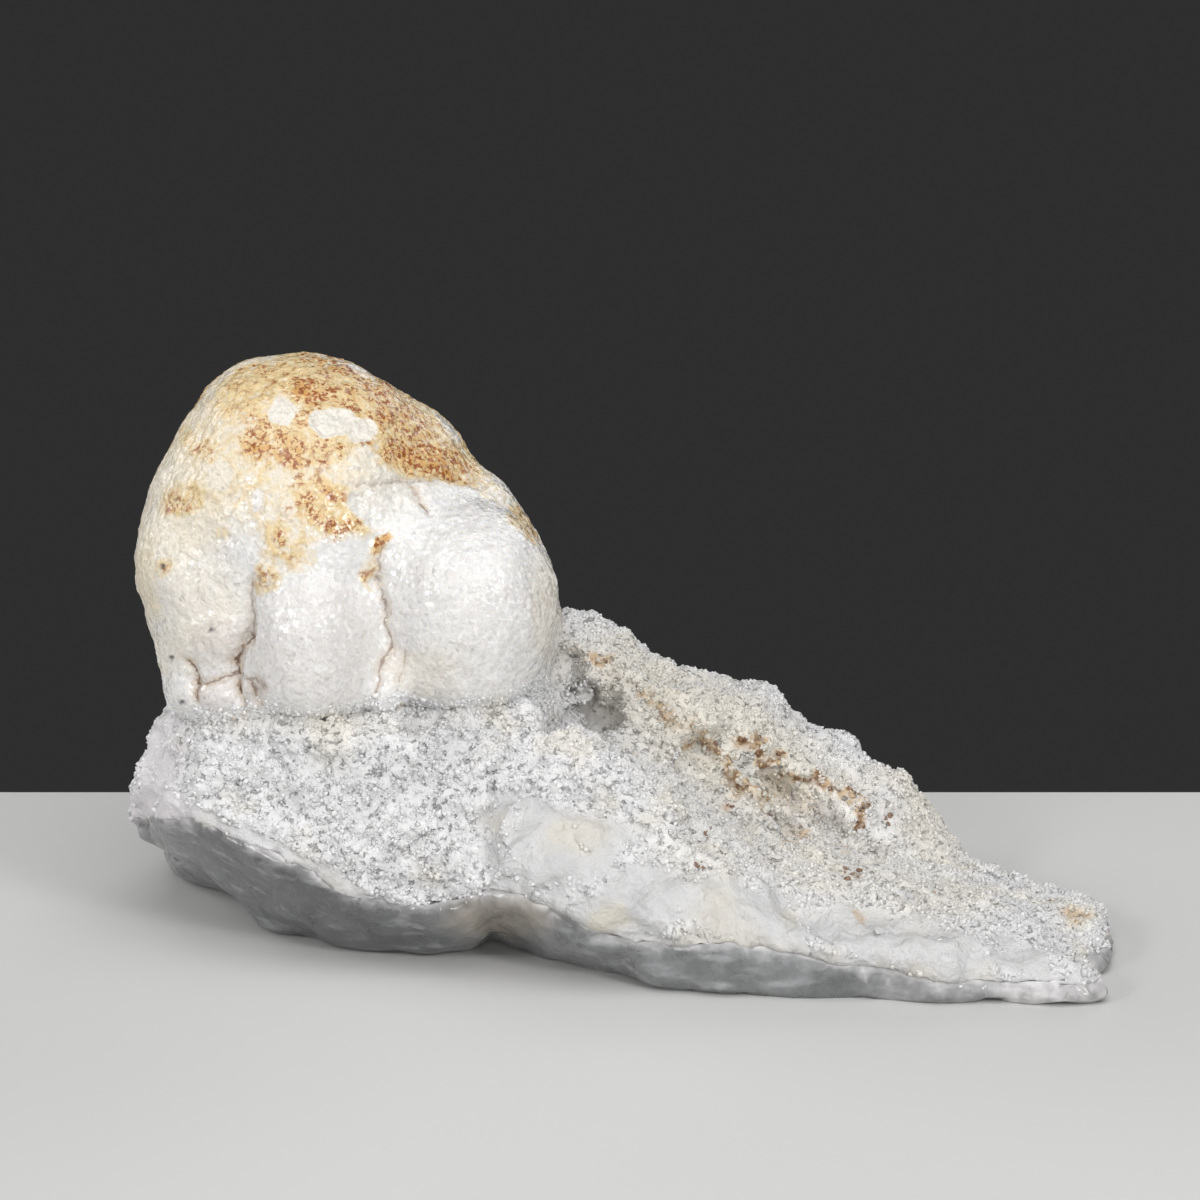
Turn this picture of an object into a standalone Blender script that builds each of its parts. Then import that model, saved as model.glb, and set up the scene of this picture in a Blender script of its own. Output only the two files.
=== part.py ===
"""A howlite nodule seated in a wedge of white matrix, on the grey glassy layer that it broke off with.

Metres, +Z up. The origin is at the middle of the bounding box, on the surface that the specimen rests on.
+X runs along the wedge from the nodule to the thin end, and -Y is the side that shows the nodule best.
"""
import bmesh
import bpy
from mathutils import Vector, noise

MM = 0.001

# The driving dimensions: the size of the nodule's crown, the thickness of the glassy layer inside the rock, the
# gap that stands for each contact, and what the lumps of the seat may add to it.
NODULE_RADIUS = 6.5 * MM
GLASS_THICKNESS = 1.3 * MM
CONTACT_GAP = 0.3 * MM
SEAT_MARGIN = 0.1 * MM

# How finely each form is worked out, how often its edges are softened, and how many triangles it keeps.
NODULE_GRAIN = 0.28 * MM
ROCK_GRAIN = 0.34 * MM
NODULE_SOFTENING = 3
ROCK_SOFTENING = 4
HOLLOW_SOFTENING = 1
NODULE_TRIANGLES = 3300
MATRIX_TRIANGLES = 4700
BASE_TRIANGLES = 1500

# The lumps of each skin: how deep they are, how large, and where their noise is read.
NODULE_LUMPS = ((0.16 * MM, 2.2 * MM, 8.3),)
ROCK_LUMPS = ((0.5 * MM, 3.4 * MM, 3.1), (0.24 * MM, 1.3 * MM, 5.7))

# The middle of the nodule, before the whole specimen is centred.
NODULE_CENTRE = Vector((-12.3, 4.6, 15.6)) * MM

# The lobes of the nodule: the offset of each from the nodule's middle and its half sizes along X, Y and Z,
# all as shares of the nodule's radius.
LOBES = {
    "crown": ((-0.02, 0.0, 0.0), (0.94, 1.02, 1.04)),
    "crown right": ((0.48, 0.08, 0.2), (0.54, 0.7, 0.56)),
    "crown back": ((-0.05, 0.42, 0.06), (0.78, 0.68, 0.78)),
    "left flank": ((-0.38, -0.23, -0.3), (0.63, 0.72, 0.7)),
    "left foot": ((-0.58, -0.42, -0.6), (0.32, 0.32, 0.34)),
    "front right": ((0.99, -0.54, -0.34), (0.59, 0.6, 0.58)),
    "back right": ((0.92, 0.03, -0.56), (0.655, 0.83, 0.76)),
    "right rim": ((0.9, 0.03, -0.1), (0.44, 0.56, 0.45)),
    "rear": ((0.42, 0.62, -0.35), (0.7, 0.6, 0.72)),
    "rear left": ((-0.38, 0.5, -0.35), (0.6, 0.62, 0.7)),
    "front middle": ((0.09, -0.73, -0.49), (0.41, 0.45, 0.48)),
    "front shelf": ((0.62, -0.36, -0.12), (0.52, 0.56, 0.5)),
    "dull lobe": ((-0.49, -0.63, -0.585), (0.225, 0.25, 0.28)),
    "foot": ((-0.42, -0.58, -0.78), (0.34, 0.3, 0.24)),
    "left bud": ((-0.49, -0.76, -0.83), (0.15, 0.14, 0.15)),
    "middle bud": ((-0.27, -0.86, -0.77), (0.15, 0.13, 0.16)),
    "corner bud": ((-0.7, -0.56, -0.84), (0.13, 0.13, 0.14)),
    "crease bud": ((0.54, -0.95, -0.72), (0.11, 0.1, 0.13)),
    "root": ((0.28, 0.0, -0.8), (0.95, 0.85, 0.45)),
}

# The rock is a union of broken blocks. Each is the convex hull of its corners, in millimetres. The corners
# below the rest plane are cut off flat with it.
BLOCKS = {
    "shoulder": (
        (-17.9, 2.0, 9.0), (-15.9, -1.4, 9.7), (-11.5, -3.1, 9.7), (-7.8, -3.0, 10.1), (-5.5, -2.9, 10.0),
        (-3.0, -2.2, 10.3), (-18.7, 2.0, 7.9), (-19.1, 1.6, 6.6), (-19.1, 1.2, 4.7), (-16.3, -3.0, 5.7),
        (-13.9, -4.0, 5.0), (-12.0, -4.4, 4.5), (-9.9, -5.0, 2.9), (-8.7, -5.2, 2.7), (-5.6, -5.7, 2.3),
        (-18.3, 11.0, -1.0), (-14.1, 6.0, -1.0), (-11.5, 0.2, -1.0), (-5.0, 0.2, -1.0),
        (-17.6, 9.0, 8.6), (-13.5, 12.2, 8.4), (-4.0, 12.6, 8.8), (-1.0, 10.0, 9.6),
        (-16.8, 12.4, -1.0), (-9.0, 13.6, -1.0), (-2.0, 13.2, -1.0),
    ),
    "front slab": (
        (-3.2, -2.0, 10.1), (-1.6, -0.9, 8.7), (1.3, -0.5, 7.0), (3.3, -0.5, 5.8), (5.4, -0.9, 4.3),
        (-5.4, -5.6, 4.0), (-2.5, -5.9, 3.9), (0.6, -6.6, 2.7), (4.2, -7.1, 2.8), (6.5, -7.3, 2.5),
        (0.4, -6.5, 1.3), (4.2, -7.0, 1.0), (6.5, -7.2, 0.8),
        (-5.0, 0.2, -1.0), (-1.5, -2.4, -1.0), (1.5, -4.8, -1.0), (4.0, -6.3, -1.0), (6.6, -7.0, -1.0),
        (-3.0, 2.0, 6.5), (2.0, 3.0, 4.0), (6.0, 2.0, 3.0),
    ),
    "slab nose": (
        (-4.7, -5.9, 6.2), (-3.2, -5.0, 7.4), (-0.6, -5.4, 6.0), (0.9, -6.5, 3.6), (-0.2, -6.9, 2.4),
        (-2.6, -6.3, 3.1), (-4.6, -6.0, 4.0), (-2.0, -2.0, 6.0), (-3.0, -2.0, 3.0), (0.5, -3.0, 3.0),
    ),
    "trough floor": (
        (-3.0, 2.0, 7.0), (-0.6, 3.6, 7.3), (1.0, 3.6, 6.8), (2.9, 3.1, 5.6), (4.9, 2.8, 4.5),
        (6.9, 2.4, 3.2), (8.8, 2.0, 2.3), (11.0, 1.6, 1.7), (-3.0, 8.0, 7.2), (8.0, 8.0, 3.0),
        (-3.0, 0.0, -1.0), (11.0, -2.0, -1.0), (12.0, 6.0, -1.0), (-3.0, 10.0, -1.0),
    ),
    "high ridge": (
        (-2.6, 9.0, 11.1), (-0.7, 9.0, 10.8), (1.0, 8.8, 9.6), (2.0, 8.8, 8.8), (3.5, 9.2, 8.2),
        (5.5, 9.2, 8.0), (7.0, 9.0, 7.4), (7.6, 8.7, 6.4), (-2.4, 5.4, 9.9), (-0.6, 5.5, 10.0),
        (1.4, 5.0, 8.4), (2.9, 4.9, 7.7), (4.2, 4.6, 6.6), (5.8, 4.7, 6.3), (-2.0, 12.4, 8.8),
        (3.0, 12.6, 6.8), (7.0, 12.0, 5.0), (-2.2, 13.4, -1.0), (4.0, 13.6, -1.0), (8.4, 12.8, -1.0),
        (-2.0, 5.0, -1.0), (6.0, 4.2, -1.0), (8.0, 5.4, -1.0),
    ),
    "low ridge": (
        (6.9, 8.8, 6.7), (9.6, 8.6, 5.8), (10.5, 8.4, 5.2), (11.7, 8.0, 4.1), (12.9, 7.5, 3.0),
        (13.6, 7.0, 2.1), (14.5, 5.8, 1.3), (6.4, 5.0, 5.6), (7.7, 4.6, 5.2), (9.3, 4.1, 4.3),
        (10.2, 3.3, 2.9), (12.4, 3.6, 2.2), (8.4, 12.6, -1.0), (12.5, 10.6, -1.0), (15.2, 8.2, -1.0),
        (16.0, 5.0, -1.0), (6.4, 4.6, -1.0), (9.6, 3.6, -1.0), (8.0, 11.6, 4.0), (12.0, 9.8, 2.4),
    ),
    "upper ledge": (
        (0.2, 3.0, 7.2), (1.6, 2.8, 6.9), (2.6, 3.4, 6.9), (2.2, 5.4, 7.8), (0.0, 5.6, 8.8), (1.0, 4.2, 8.0),
        (0.4, 4.0, 3.0), (2.4, 4.0, 3.0),
    ),
    "middle ledge": (
        (4.2, 3.2, 5.6), (5.6, 3.0, 5.1), (6.2, 3.6, 5.1), (5.8, 5.0, 6.0), (4.4, 4.8, 6.2), (4.6, 4.0, 2.0),
        (6.0, 4.4, 2.0),
    ),
    "ridge knob": (
        (11.2, 8.2, 4.5), (11.9, 8.1, 4.5), (12.3, 7.7, 3.9), (11.4, 7.2, 4.0), (11.8, 8.9, 3.9),
        (11.6, 7.6, 2.6),
    ),
    "tail": (
        (4.6, -7.2, 2.6), (8.9, -7.6, 2.1), (11.3, -7.7, 1.8), (14.3, -7.8, 1.7), (17.6, -7.9, 1.3),
        (18.3, -7.5, 1.1), (5.0, -1.2, 4.2), (9.0, -2.0, 2.9), (12.0, -3.0, 2.4), (14.6, -4.0, 1.9),
        (16.9, -5.5, 1.4), (11.3, 2.2, 2.0), (14.0, 3.4, 1.8), (15.6, 1.5, 1.6), (16.2, -1.8, 1.4),
        (5.0, -7.0, -1.0), (12.0, -7.5, -1.0), (18.3, -7.7, -1.0), (16.4, -2.2, -1.0), (15.8, 4.8, -1.0),
        (6.0, 3.0, -1.0),
    ),
    "back corner": (
        (14.0, 5.0, 1.6), (16.2, 3.4, 1.3), (17.6, 0.0, 1.5), (18.6, -0.7, 1.3), (19.0, 0.8, 1.1),
        (18.7, 2.0, 1.0), (16.6, -1.3, 1.4), (18.6, -3.0, 1.1), (18.3, -4.6, 0.9), (17.0, -4.0, 1.0),
        (19.2, 2.6, -1.0), (16.6, 5.2, -1.0), (19.1, -0.9, -1.0), (18.8, -3.2, -1.0), (18.4, -5.0, -1.0),
        (16.6, -4.0, -1.0), (14.4, 6.0, -1.0),
    ),
}

# Hollows in the rock: the middle and the half sizes of each, in millimetres.
HOLLOWS = {
    "pocket beside the nodule": ((-0.8, 2.0, 8.2), (1.0, 1.9, 2.4)),
    "slit behind the pocket": ((-1.8, 4.0, 10.4), (0.8, 2.6, 2.2)),
    "upper pit of the trough": ((3.9, 3.3, 6.2), (1.6, 1.0, 1.0)),
    "lower pit of the trough": ((7.8, 2.7, 3.9), (1.9, 1.0, 1.0)),
}

# The line along the front where the white rock ends and the glassy layer begins: X and height, in millimetres.
SEAM_FRONT = (
    (-19.5, 4.2), (-16.3, 5.5), (-13.9, 4.9), (-12.0, 4.3), (-9.9, 2.8), (-7.0, 2.7), (-4.4, 3.7),
    (-2.5, 3.0), (-1.0, 2.1), (1.6, 1.7), (4.2, 1.95), (6.5, 1.75), (9.0, 1.2), (11.5, 0.75), (20.0, 0.65),
)
# The front edge of the rock in plan, X and Y, and how far behind it the seam comes down to its inner level.
FRONT_LINE = ((-19.5, 1.0), (-14.0, -4.0), (-5.6, -5.8), (6.0, -7.2), (20.0, -7.8))
SEAM_REACH = 7.0 * MM

# The slab that follows the seam: its sides in X and Y, its cells, and its flat sides above and below the rock.
SLAB_X = (-22.0 * MM, 23.0 * MM)
SLAB_Y = (-11.0 * MM, 17.0 * MM)
SLAB_CELLS = (60, 38)
SLAB_TOP = 30.0 * MM
SLAB_BOTTOM = -4.0 * MM

# How near to the rest plane a corner counts as lying on it.
FLAT = 1e-6


def clear_scene():
    """Remove every object of the scene that the script starts in."""
    for existing in list(bpy.data.objects):
        bpy.data.objects.remove(existing, do_unlink=True)


def along(points, x):
    """The height at x of a line through points, which are given from left to right."""
    for (x0, y0), (x1, y1) in zip(points, points[1:]):
        if x <= x1:
            share = min(max((x - x0) / (x1 - x0), 0.0), 1.0)
            return y0 + (y1 - y0) * share
    return points[-1][1]


def finish(name, colour, roughness):
    """A plain material in one colour."""
    material = bpy.data.materials.new(name)
    material.use_nodes = True
    shader = material.node_tree.nodes["Principled BSDF"]
    shader.inputs["Base Color"].default_value = (*colour, 1.0)
    shader.inputs["Roughness"].default_value = roughness
    shader.inputs["Metallic"].default_value = 0.0
    return material


def place(name, mesh):
    """Link a new object that shows the mesh."""
    piece = bpy.data.objects.new(name, mesh)
    bpy.context.scene.collection.objects.link(piece)
    return piece


def settle(piece):
    """Bake the modifiers of a piece into its mesh."""
    graph = bpy.context.evaluated_depsgraph_get()
    baked = bpy.data.meshes.new_from_object(piece.evaluated_get(graph))
    piece.modifiers.clear()
    piece.data = baked
    return piece


def remesh(piece, grain, smoothing):
    """Fuse everything in a piece into one closed skin, and round its edges."""
    fuse = piece.modifiers.new("fuse", "REMESH")
    fuse.mode = "VOXEL"
    fuse.voxel_size = grain
    soften = piece.modifiers.new("soften", "SMOOTH")
    soften.factor = 0.5
    soften.iterations = smoothing
    return settle(piece)


def roughen(piece, lumps):
    """Push the skin in and out by fractal noises, so that it has lumps and dents."""
    skin = bmesh.new()
    skin.from_mesh(piece.data)
    for depth, size, seed in lumps:
        shift = Vector((seed, 2.0 * seed, 3.0 * seed))
        skin.normal_update()
        moves = []
        for vertex in skin.verts:
            height = noise.fractal(vertex.co / size + shift, 0.9, 2.1, 3)
            moves.append(vertex.normal * height * depth)
        for vertex, move in zip(skin.verts, moves):
            vertex.co += move
    skin.to_mesh(piece.data)
    skin.free()


def combine(piece, cutter, operation):
    """Cut a piece with a cutter, keep what they share, or join them, and remove the cutter."""
    cut = piece.modifiers.new("cut", "BOOLEAN")
    cut.operation = operation
    cut.solver = "EXACT"
    cut.object = cutter
    settle(piece)
    bpy.data.objects.remove(cutter, do_unlink=True)
    return piece


def facet(piece, triangles):
    """Bring a piece down to about the number of triangles given, as flat facets."""
    skin = bmesh.new()
    skin.from_mesh(piece.data)
    bmesh.ops.triangulate(skin, faces=skin.faces)
    count = len(skin.faces)
    skin.to_mesh(piece.data)
    skin.free()
    thin = piece.modifiers.new("thin", "DECIMATE")
    thin.ratio = min(1.0, triangles / count)
    thin.use_collapse_triangulate = True
    return settle(piece)


def ellipsoids(name, forms):
    """One object with an ellipsoid for each middle and its half sizes."""
    skin = bmesh.new()
    for middle, radii in forms:
        made = bmesh.ops.create_icosphere(skin, subdivisions=4, radius=1.0)
        for vertex in made["verts"]:
            vertex.co = Vector(middle) + Vector(a * b for a, b in zip(vertex.co, radii))
    mesh = bpy.data.meshes.new(name)
    skin.to_mesh(mesh)
    skin.free()
    return place(name, mesh)


def lobed_ball(name, growth):
    """The lobes of the nodule fused into one skin, all of them grown by the same amount."""
    forms = []
    for offset, shares in LOBES.values():
        middle = NODULE_CENTRE + Vector(offset) * NODULE_RADIUS
        radii = [share * NODULE_RADIUS + growth for share in shares]
        forms.append((middle, radii))
    ball = remesh(ellipsoids(name, forms), NODULE_GRAIN, NODULE_SOFTENING)
    roughen(ball, NODULE_LUMPS)
    return ball


def broken_blocks(name):
    """The blocks of the rock as overlapping convex hulls in one object."""
    skin = bmesh.new()
    for corners in BLOCKS.values():
        block = [skin.verts.new(Vector(corner) * MM) for corner in corners]
        hull = bmesh.ops.convex_hull(skin, input=block)
        spare = [item for item in hull["geom_interior"] if isinstance(item, bmesh.types.BMVert)]
        bmesh.ops.delete(skin, geom=spare, context="VERTS")
    bmesh.ops.recalc_face_normals(skin, faces=skin.faces)
    mesh = bpy.data.meshes.new(name)
    skin.to_mesh(mesh)
    skin.free()
    return place(name, mesh)


def seam_height(x, y):
    """The height of the seam between the white rock and the glassy layer, in metres."""
    front = along(SEAM_FRONT, x / MM) * MM
    inside = y - along(FRONT_LINE, x / MM) * MM
    share = min(max(inside / SEAM_REACH, 0.0), 1.0)
    blend = share * share * (3.0 - 2.0 * share)
    inner = min(front, GLASS_THICKNESS)
    return front + (inner - front) * blend


def seam_slab(name, offset, flat_side):
    """A slab that follows the seam at an offset on one side and is flat on the other."""
    left, right = SLAB_X
    near, far = SLAB_Y
    columns, rows = SLAB_CELLS
    skin = bmesh.new()
    bmesh.ops.create_grid(skin, x_segments=columns, y_segments=rows, size=1.0)
    for vertex in skin.verts:
        x = left + (right - left) * (vertex.co.x + 1.0) / 2.0
        y = near + (far - near) * (vertex.co.y + 1.0) / 2.0
        vertex.co = Vector((x, y, seam_height(x, y) + offset))
    raised = bmesh.ops.extrude_face_region(skin, geom=list(skin.faces))["geom"]
    for item in raised:
        if isinstance(item, bmesh.types.BMVert):
            item.co.z = flat_side
    bmesh.ops.recalc_face_normals(skin, faces=skin.faces)
    mesh = bpy.data.meshes.new(name)
    skin.to_mesh(mesh)
    skin.free()
    return place(name, mesh)


def rest_flat(piece):
    """Cut a piece off on the surface that it rests on."""
    skin = bmesh.new()
    skin.from_mesh(piece.data)
    everything = list(skin.verts) + list(skin.edges) + list(skin.faces)
    cut = bmesh.ops.bisect_plane(skin, geom=everything, dist=FLAT, plane_co=(0.0, 0.0, 0.0),
                                 plane_no=(0.0, 0.0, 1.0), clear_inner=True)
    rim = [item for item in cut["geom_cut"] if isinstance(item, bmesh.types.BMEdge)]
    bmesh.ops.holes_fill(skin, edges=rim, sides=0)
    for vertex in skin.verts:
        if abs(vertex.co.z) < FLAT:
            vertex.co.z = 0.0
    bmesh.ops.recalc_face_normals(skin, faces=skin.faces)
    skin.to_mesh(piece.data)
    skin.free()


def make_rock():
    """The whole rock in one skin, with its hollows, before the seam and the seat are cut."""
    rock = remesh(broken_blocks("rock"), ROCK_GRAIN, ROCK_SOFTENING)
    roughen(rock, ROCK_LUMPS)
    forms = []
    for middle, radii in HOLLOWS.values():
        forms.append((Vector(middle) * MM, [radius * MM for radius in radii]))
    hollows = remesh(ellipsoids("hollows", forms), ROCK_GRAIN, HOLLOW_SOFTENING)
    return combine(rock, hollows, "DIFFERENCE")


def make_nodule():
    nodule = lobed_ball("howlite_nodule", 0.0)
    facet(nodule, NODULE_TRIANGLES)
    nodule.data.materials.append(finish("howlite", (0.84, 0.77, 0.66), 0.55))
    return nodule


def make_matrix(rock):
    matrix = place("white_matrix", rock.data.copy())
    combine(matrix, seam_slab("above the seam", CONTACT_GAP / 2.0, SLAB_TOP), "INTERSECT")
    combine(matrix, lobed_ball("seat", CONTACT_GAP + SEAT_MARGIN), "DIFFERENCE")
    facet(matrix, MATRIX_TRIANGLES)
    matrix.data.materials.append(finish("white matrix", (0.72, 0.72, 0.7), 0.8))
    return matrix


def make_base(rock):
    base = place("glassy_base", rock.data.copy())
    combine(base, seam_slab("below the seam", -CONTACT_GAP / 2.0, SLAB_BOTTOM), "INTERSECT")
    facet(base, BASE_TRIANGLES)
    rest_flat(base)
    base.data.materials.append(finish("grey glassy layer", (0.3, 0.32, 0.32), 0.15))
    return base


def centre(pieces):
    """Bring the middle of the specimen's bounding box over the origin."""
    xs = [vertex.co.x for piece in pieces for vertex in piece.data.vertices]
    ys = [vertex.co.y for piece in pieces for vertex in piece.data.vertices]
    shift = Vector((-(min(xs) + max(xs)) / 2.0, -(min(ys) + max(ys)) / 2.0, 0.0))
    specimen = bpy.data.objects.new("specimen", None)
    bpy.context.scene.collection.objects.link(specimen)
    specimen.location = shift
    for piece in pieces:
        piece.parent = specimen


def main():
    clear_scene()
    rock = make_rock()
    pieces = [make_nodule(), make_matrix(rock), make_base(rock)]
    bpy.data.objects.remove(rock, do_unlink=True)
    centre(pieces)


main()
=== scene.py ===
"""The looks of a howlite nodule on its white matrix and grey glassy layer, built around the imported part.

Metres, +Z up, in the part's own frame. The camera stands where the photograph was taken from, and a marking
that shows in the photograph is placed by its pixel in the 1200 by 1200 frame, on the side that faces it.
"""
import math

import bmesh
import bpy
import numpy as np
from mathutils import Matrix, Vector, noise
from mathutils.bvhtree import BVHTree


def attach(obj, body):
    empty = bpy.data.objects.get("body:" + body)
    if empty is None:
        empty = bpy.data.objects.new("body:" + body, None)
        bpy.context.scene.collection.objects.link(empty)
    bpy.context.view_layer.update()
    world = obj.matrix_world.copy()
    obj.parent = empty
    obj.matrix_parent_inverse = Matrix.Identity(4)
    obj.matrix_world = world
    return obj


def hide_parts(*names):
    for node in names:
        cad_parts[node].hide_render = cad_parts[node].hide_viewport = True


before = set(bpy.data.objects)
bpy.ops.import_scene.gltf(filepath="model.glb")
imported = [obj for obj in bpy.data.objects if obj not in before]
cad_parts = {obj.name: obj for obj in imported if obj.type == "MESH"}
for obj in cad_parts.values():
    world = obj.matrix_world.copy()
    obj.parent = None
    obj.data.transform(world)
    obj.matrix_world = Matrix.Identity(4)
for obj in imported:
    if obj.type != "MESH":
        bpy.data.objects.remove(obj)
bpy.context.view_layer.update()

MM = 0.001
SEED = 7

# The camera: its height above the horizon, how far it stands from the point that it looks at, that point, and
# how many pixels of the photograph one millimetre takes there.
VIEW_ELEVATION = math.radians(14.0)
VIEW_DISTANCE = 150.0 * MM
VIEW_TARGET = Vector((-0.732, -2.677, 13.56)) * MM
PHOTO_SIZE = 1200
PIXELS_PER_MM = 26.0
SENSOR = 36.0
CLIP_NEAR = 1.0 * MM
CLIP_FAR = 10.0

# How fine the nodule's net is before it is divided, and how often nets are divided and softened.
NODULE_NET = 0.46 * MM
NET_LEVELS = 2
NET_SOFTENING = 2
# How close together two corners of a solid's facets are one.
WELD = 1e-7
# The turn between two facets from which their edge starts to stay crisp, and where it is wholly crisp.
CRISP = (math.radians(45.0), math.radians(80.0))
# The map that colours are baked through: its name, its widest fold and the gap between its islands.
BAKE_MAP = "OFBake"
MAP_FOLD = math.radians(75.0)
MAP_GAP = 0.004

# How fast finer lumps fade, how much finer each is than the last, and how far apart facets' tilts are read.
LUMP_FADE = 0.8
LUMP_STEP = 2.1
TILT_SPREAD = 57.0
# A soft patch is whole up to the first share of its half size, and gone beyond the second.
PATCH_SOFTNESS = (0.45, 1.25)
# How squarely a surface faces the camera where markings start to show on it, and where they are whole.
SHOWN = (0.0, 0.25)

# Where pieces meet: how wide a gap is closed, the share of that which closes wholly, and how deep they sink.
ROCK_REACH = 0.9 * MM
GLASS_REACH = 0.55 * MM
CLOSED_SHARE = 0.6
SINK = 0.04 * MM

# Colours, as linear light.
HOWLITE_WHITE = (0.81, 0.80, 0.785)
HOWLITE_CREAM = (0.82, 0.72, 0.54)
STAIN_WASH = (0.79, 0.62, 0.34)
STAIN_OCHRE = (0.66, 0.36, 0.11)
STAIN_BROWN = (0.32, 0.09, 0.02)
DULL_PINK = (0.55, 0.47, 0.44)
# Tan painted shade beside the creases, and the brown of their stain and painted shade.
CREASE_SHADE_TAN = (0.50, 0.36, 0.22)
CREASE_BROWN = (0.15, 0.075, 0.04)
SPECK_BLACK = (0.06, 0.05, 0.045)
ROCK_WHITE = (0.695, 0.69, 0.69)
# Grey for the rock's grey clouds, and for the painted shade in its pits, grooves, below its ledges and in the
# hollow.
ROCK_GREY_AND_SHADE = (0.36, 0.365, 0.37)
ROCK_CREAM = (0.72, 0.67, 0.57)
ROCK_TAN = (0.52, 0.36, 0.20)
ROCK_BROWN = (0.19, 0.095, 0.04)
# A pale pinkish tone, made lighter as painted light for the left facet and margin.
ROCK_PALE_PAINTED_LIGHT = (0.83, 0.795, 0.815)
GLASS_GREY = (0.33, 0.337, 0.34)
# Pale streaks of painted reflection on the glassy layer.
GLASS_REFLECTION = (0.60, 0.61, 0.62)
GLASS_BEIGE = (0.50, 0.44, 0.37)
GLASS_FROST = (0.72, 0.70, 0.70)
# Painted shade for the glassy layer's underside.
GLASS_SHADE = (0.17, 0.17, 0.178)
GLASS_CLEAR = (0.95, 0.97, 0.96)


# Reading and changing meshes

def points_of(mesh):
    """The places of a mesh's vertices, one row each."""
    flat = np.empty(len(mesh.vertices) * 3, np.float32)
    mesh.vertices.foreach_get("co", flat)
    return flat.reshape(-1, 3).astype(float)


def normals_of(mesh):
    """The directions that a mesh's vertices face, one row each."""
    flat = np.empty(len(mesh.vertices) * 3, np.float32)
    mesh.vertices.foreach_get("normal", flat)
    return flat.reshape(-1, 3).astype(float)


def move_to(mesh, points):
    """Put a mesh's vertices at the places given."""
    mesh.vertices.foreach_set("co", points.astype(np.float32).ravel())
    mesh.update()


def push(mesh, heights):
    """Move each vertex along its own normal by its height."""
    move_to(mesh, points_of(mesh) + normals_of(mesh) * heights[:, None])


def keep_numbers(mesh, name, numbers):
    """Keep one number a vertex on the mesh, for its material to read."""
    layer = mesh.attributes.new(name, "FLOAT", "POINT")
    layer.data.foreach_set("value", np.asarray(numbers, np.float32))


def keep_colours(mesh, name, colours):
    """Keep one colour a vertex on the mesh, for its material to read."""
    layer = mesh.attributes.new(name, "FLOAT_COLOR", "POINT")
    rows = np.ones((len(colours), 4), np.float32)
    rows[:, :3] = colours
    layer.data.foreach_set("color", rows.ravel())


def place(name, data):
    """Link a new object that shows a mesh, or holds a light or the camera."""
    piece = bpy.data.objects.new(name, data)
    bpy.context.scene.collection.objects.link(piece)
    return piece


def settle(piece):
    """Bake the modifiers of a piece into its mesh."""
    graph = bpy.context.evaluated_depsgraph_get()
    baked = bpy.data.meshes.new_from_object(piece.evaluated_get(graph), preserve_all_data_layers=True,
                                            depsgraph=graph)
    piece.modifiers.clear()
    piece.data = baked
    return piece


def divide(piece, levels):
    """Divide the faces of a piece, rounding it."""
    rounder = piece.modifiers.new("divide", "SUBSURF")
    rounder.levels = levels
    rounder.render_levels = levels
    return settle(piece)


def unwrap(piece):
    """Lay the faces of a piece out flat, in the map that colours are baked through."""
    bpy.ops.object.select_all(action="DESELECT")
    bpy.context.view_layer.objects.active = piece
    piece.select_set(True)
    piece.data.uv_layers.new(name=BAKE_MAP)
    bpy.ops.object.mode_set(mode="EDIT")
    bpy.ops.mesh.select_all(action="SELECT")
    bpy.ops.uv.smart_project(angle_limit=MAP_FOLD, island_margin=MAP_GAP)
    bpy.ops.object.mode_set(mode="OBJECT")
    piece.select_set(False)


def even_net(piece, net):
    """Build a piece's skin again as an even net, and soften it."""
    divide(piece, 1)
    wrap = piece.modifiers.new("wrap", "REMESH")
    wrap.mode = "VOXEL"
    wrap.voxel_size = net
    soften = piece.modifiers.new("soften", "SMOOTH")
    soften.iterations = NET_SOFTENING
    settle(piece)


def skin_of(node, name, net=None):
    """A node's solid with its facets rounded off, as small quads, in an even net where one is asked for."""
    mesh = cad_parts[node].data.copy()
    shell = bmesh.new()
    shell.from_mesh(mesh)
    bmesh.ops.remove_doubles(shell, verts=shell.verts, dist=WELD)
    if not net:
        crease = shell.edges.layers.float.new("crease_edge")
        for edge in shell.edges:
            edge[crease] = float(ease(*CRISP, edge.calc_face_angle(0.0)))
    shell.to_mesh(mesh)
    shell.free()
    mesh.materials.clear()
    while mesh.uv_layers:
        mesh.uv_layers.remove(mesh.uv_layers[0])
    piece = place(name, mesh)
    if net:
        even_net(piece, net)
    unwrap(piece)
    divide(piece, NET_LEVELS)
    piece.data.shade_smooth()
    return piece


# Numbers over a surface

def ease(low, high, x):
    """0 below low, 1 above high, and a smooth rise between them."""
    share = np.clip((x - low) / (high - low), 0.0, 1.0)
    return share * share * (3.0 - 2.0 * share)


def unit(rows):
    """Rows brought to a length of 1."""
    return rows / np.linalg.norm(rows, axis=1)[:, None]


def seeded(points, size, seed):
    """Points in a noise's own space, where its features of a size in millimetres are 1 across."""
    return points / (size * MM) + seed * np.array((1.0, 2.0, 3.0))


def lumps(points, size, seed, octaves=3):
    """Fractal noise at each point, about -1 to 1, with its largest features of a size in millimetres."""
    spots = seeded(points, size, seed).tolist()
    return np.array([noise.fractal(spot, LUMP_FADE, LUMP_STEP, octaves) for spot in spots])


def waves(points, strength, size, seed, octaves=3):
    """Lumps of a strength."""
    return strength * lumps(points, size, seed, octaves)


def clouds(points, strength, size, seed, low, high):
    """Soft clouds of a strength, where lumps rise from low to high."""
    return strength * ease(low, high, lumps(points, size, seed))


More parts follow.
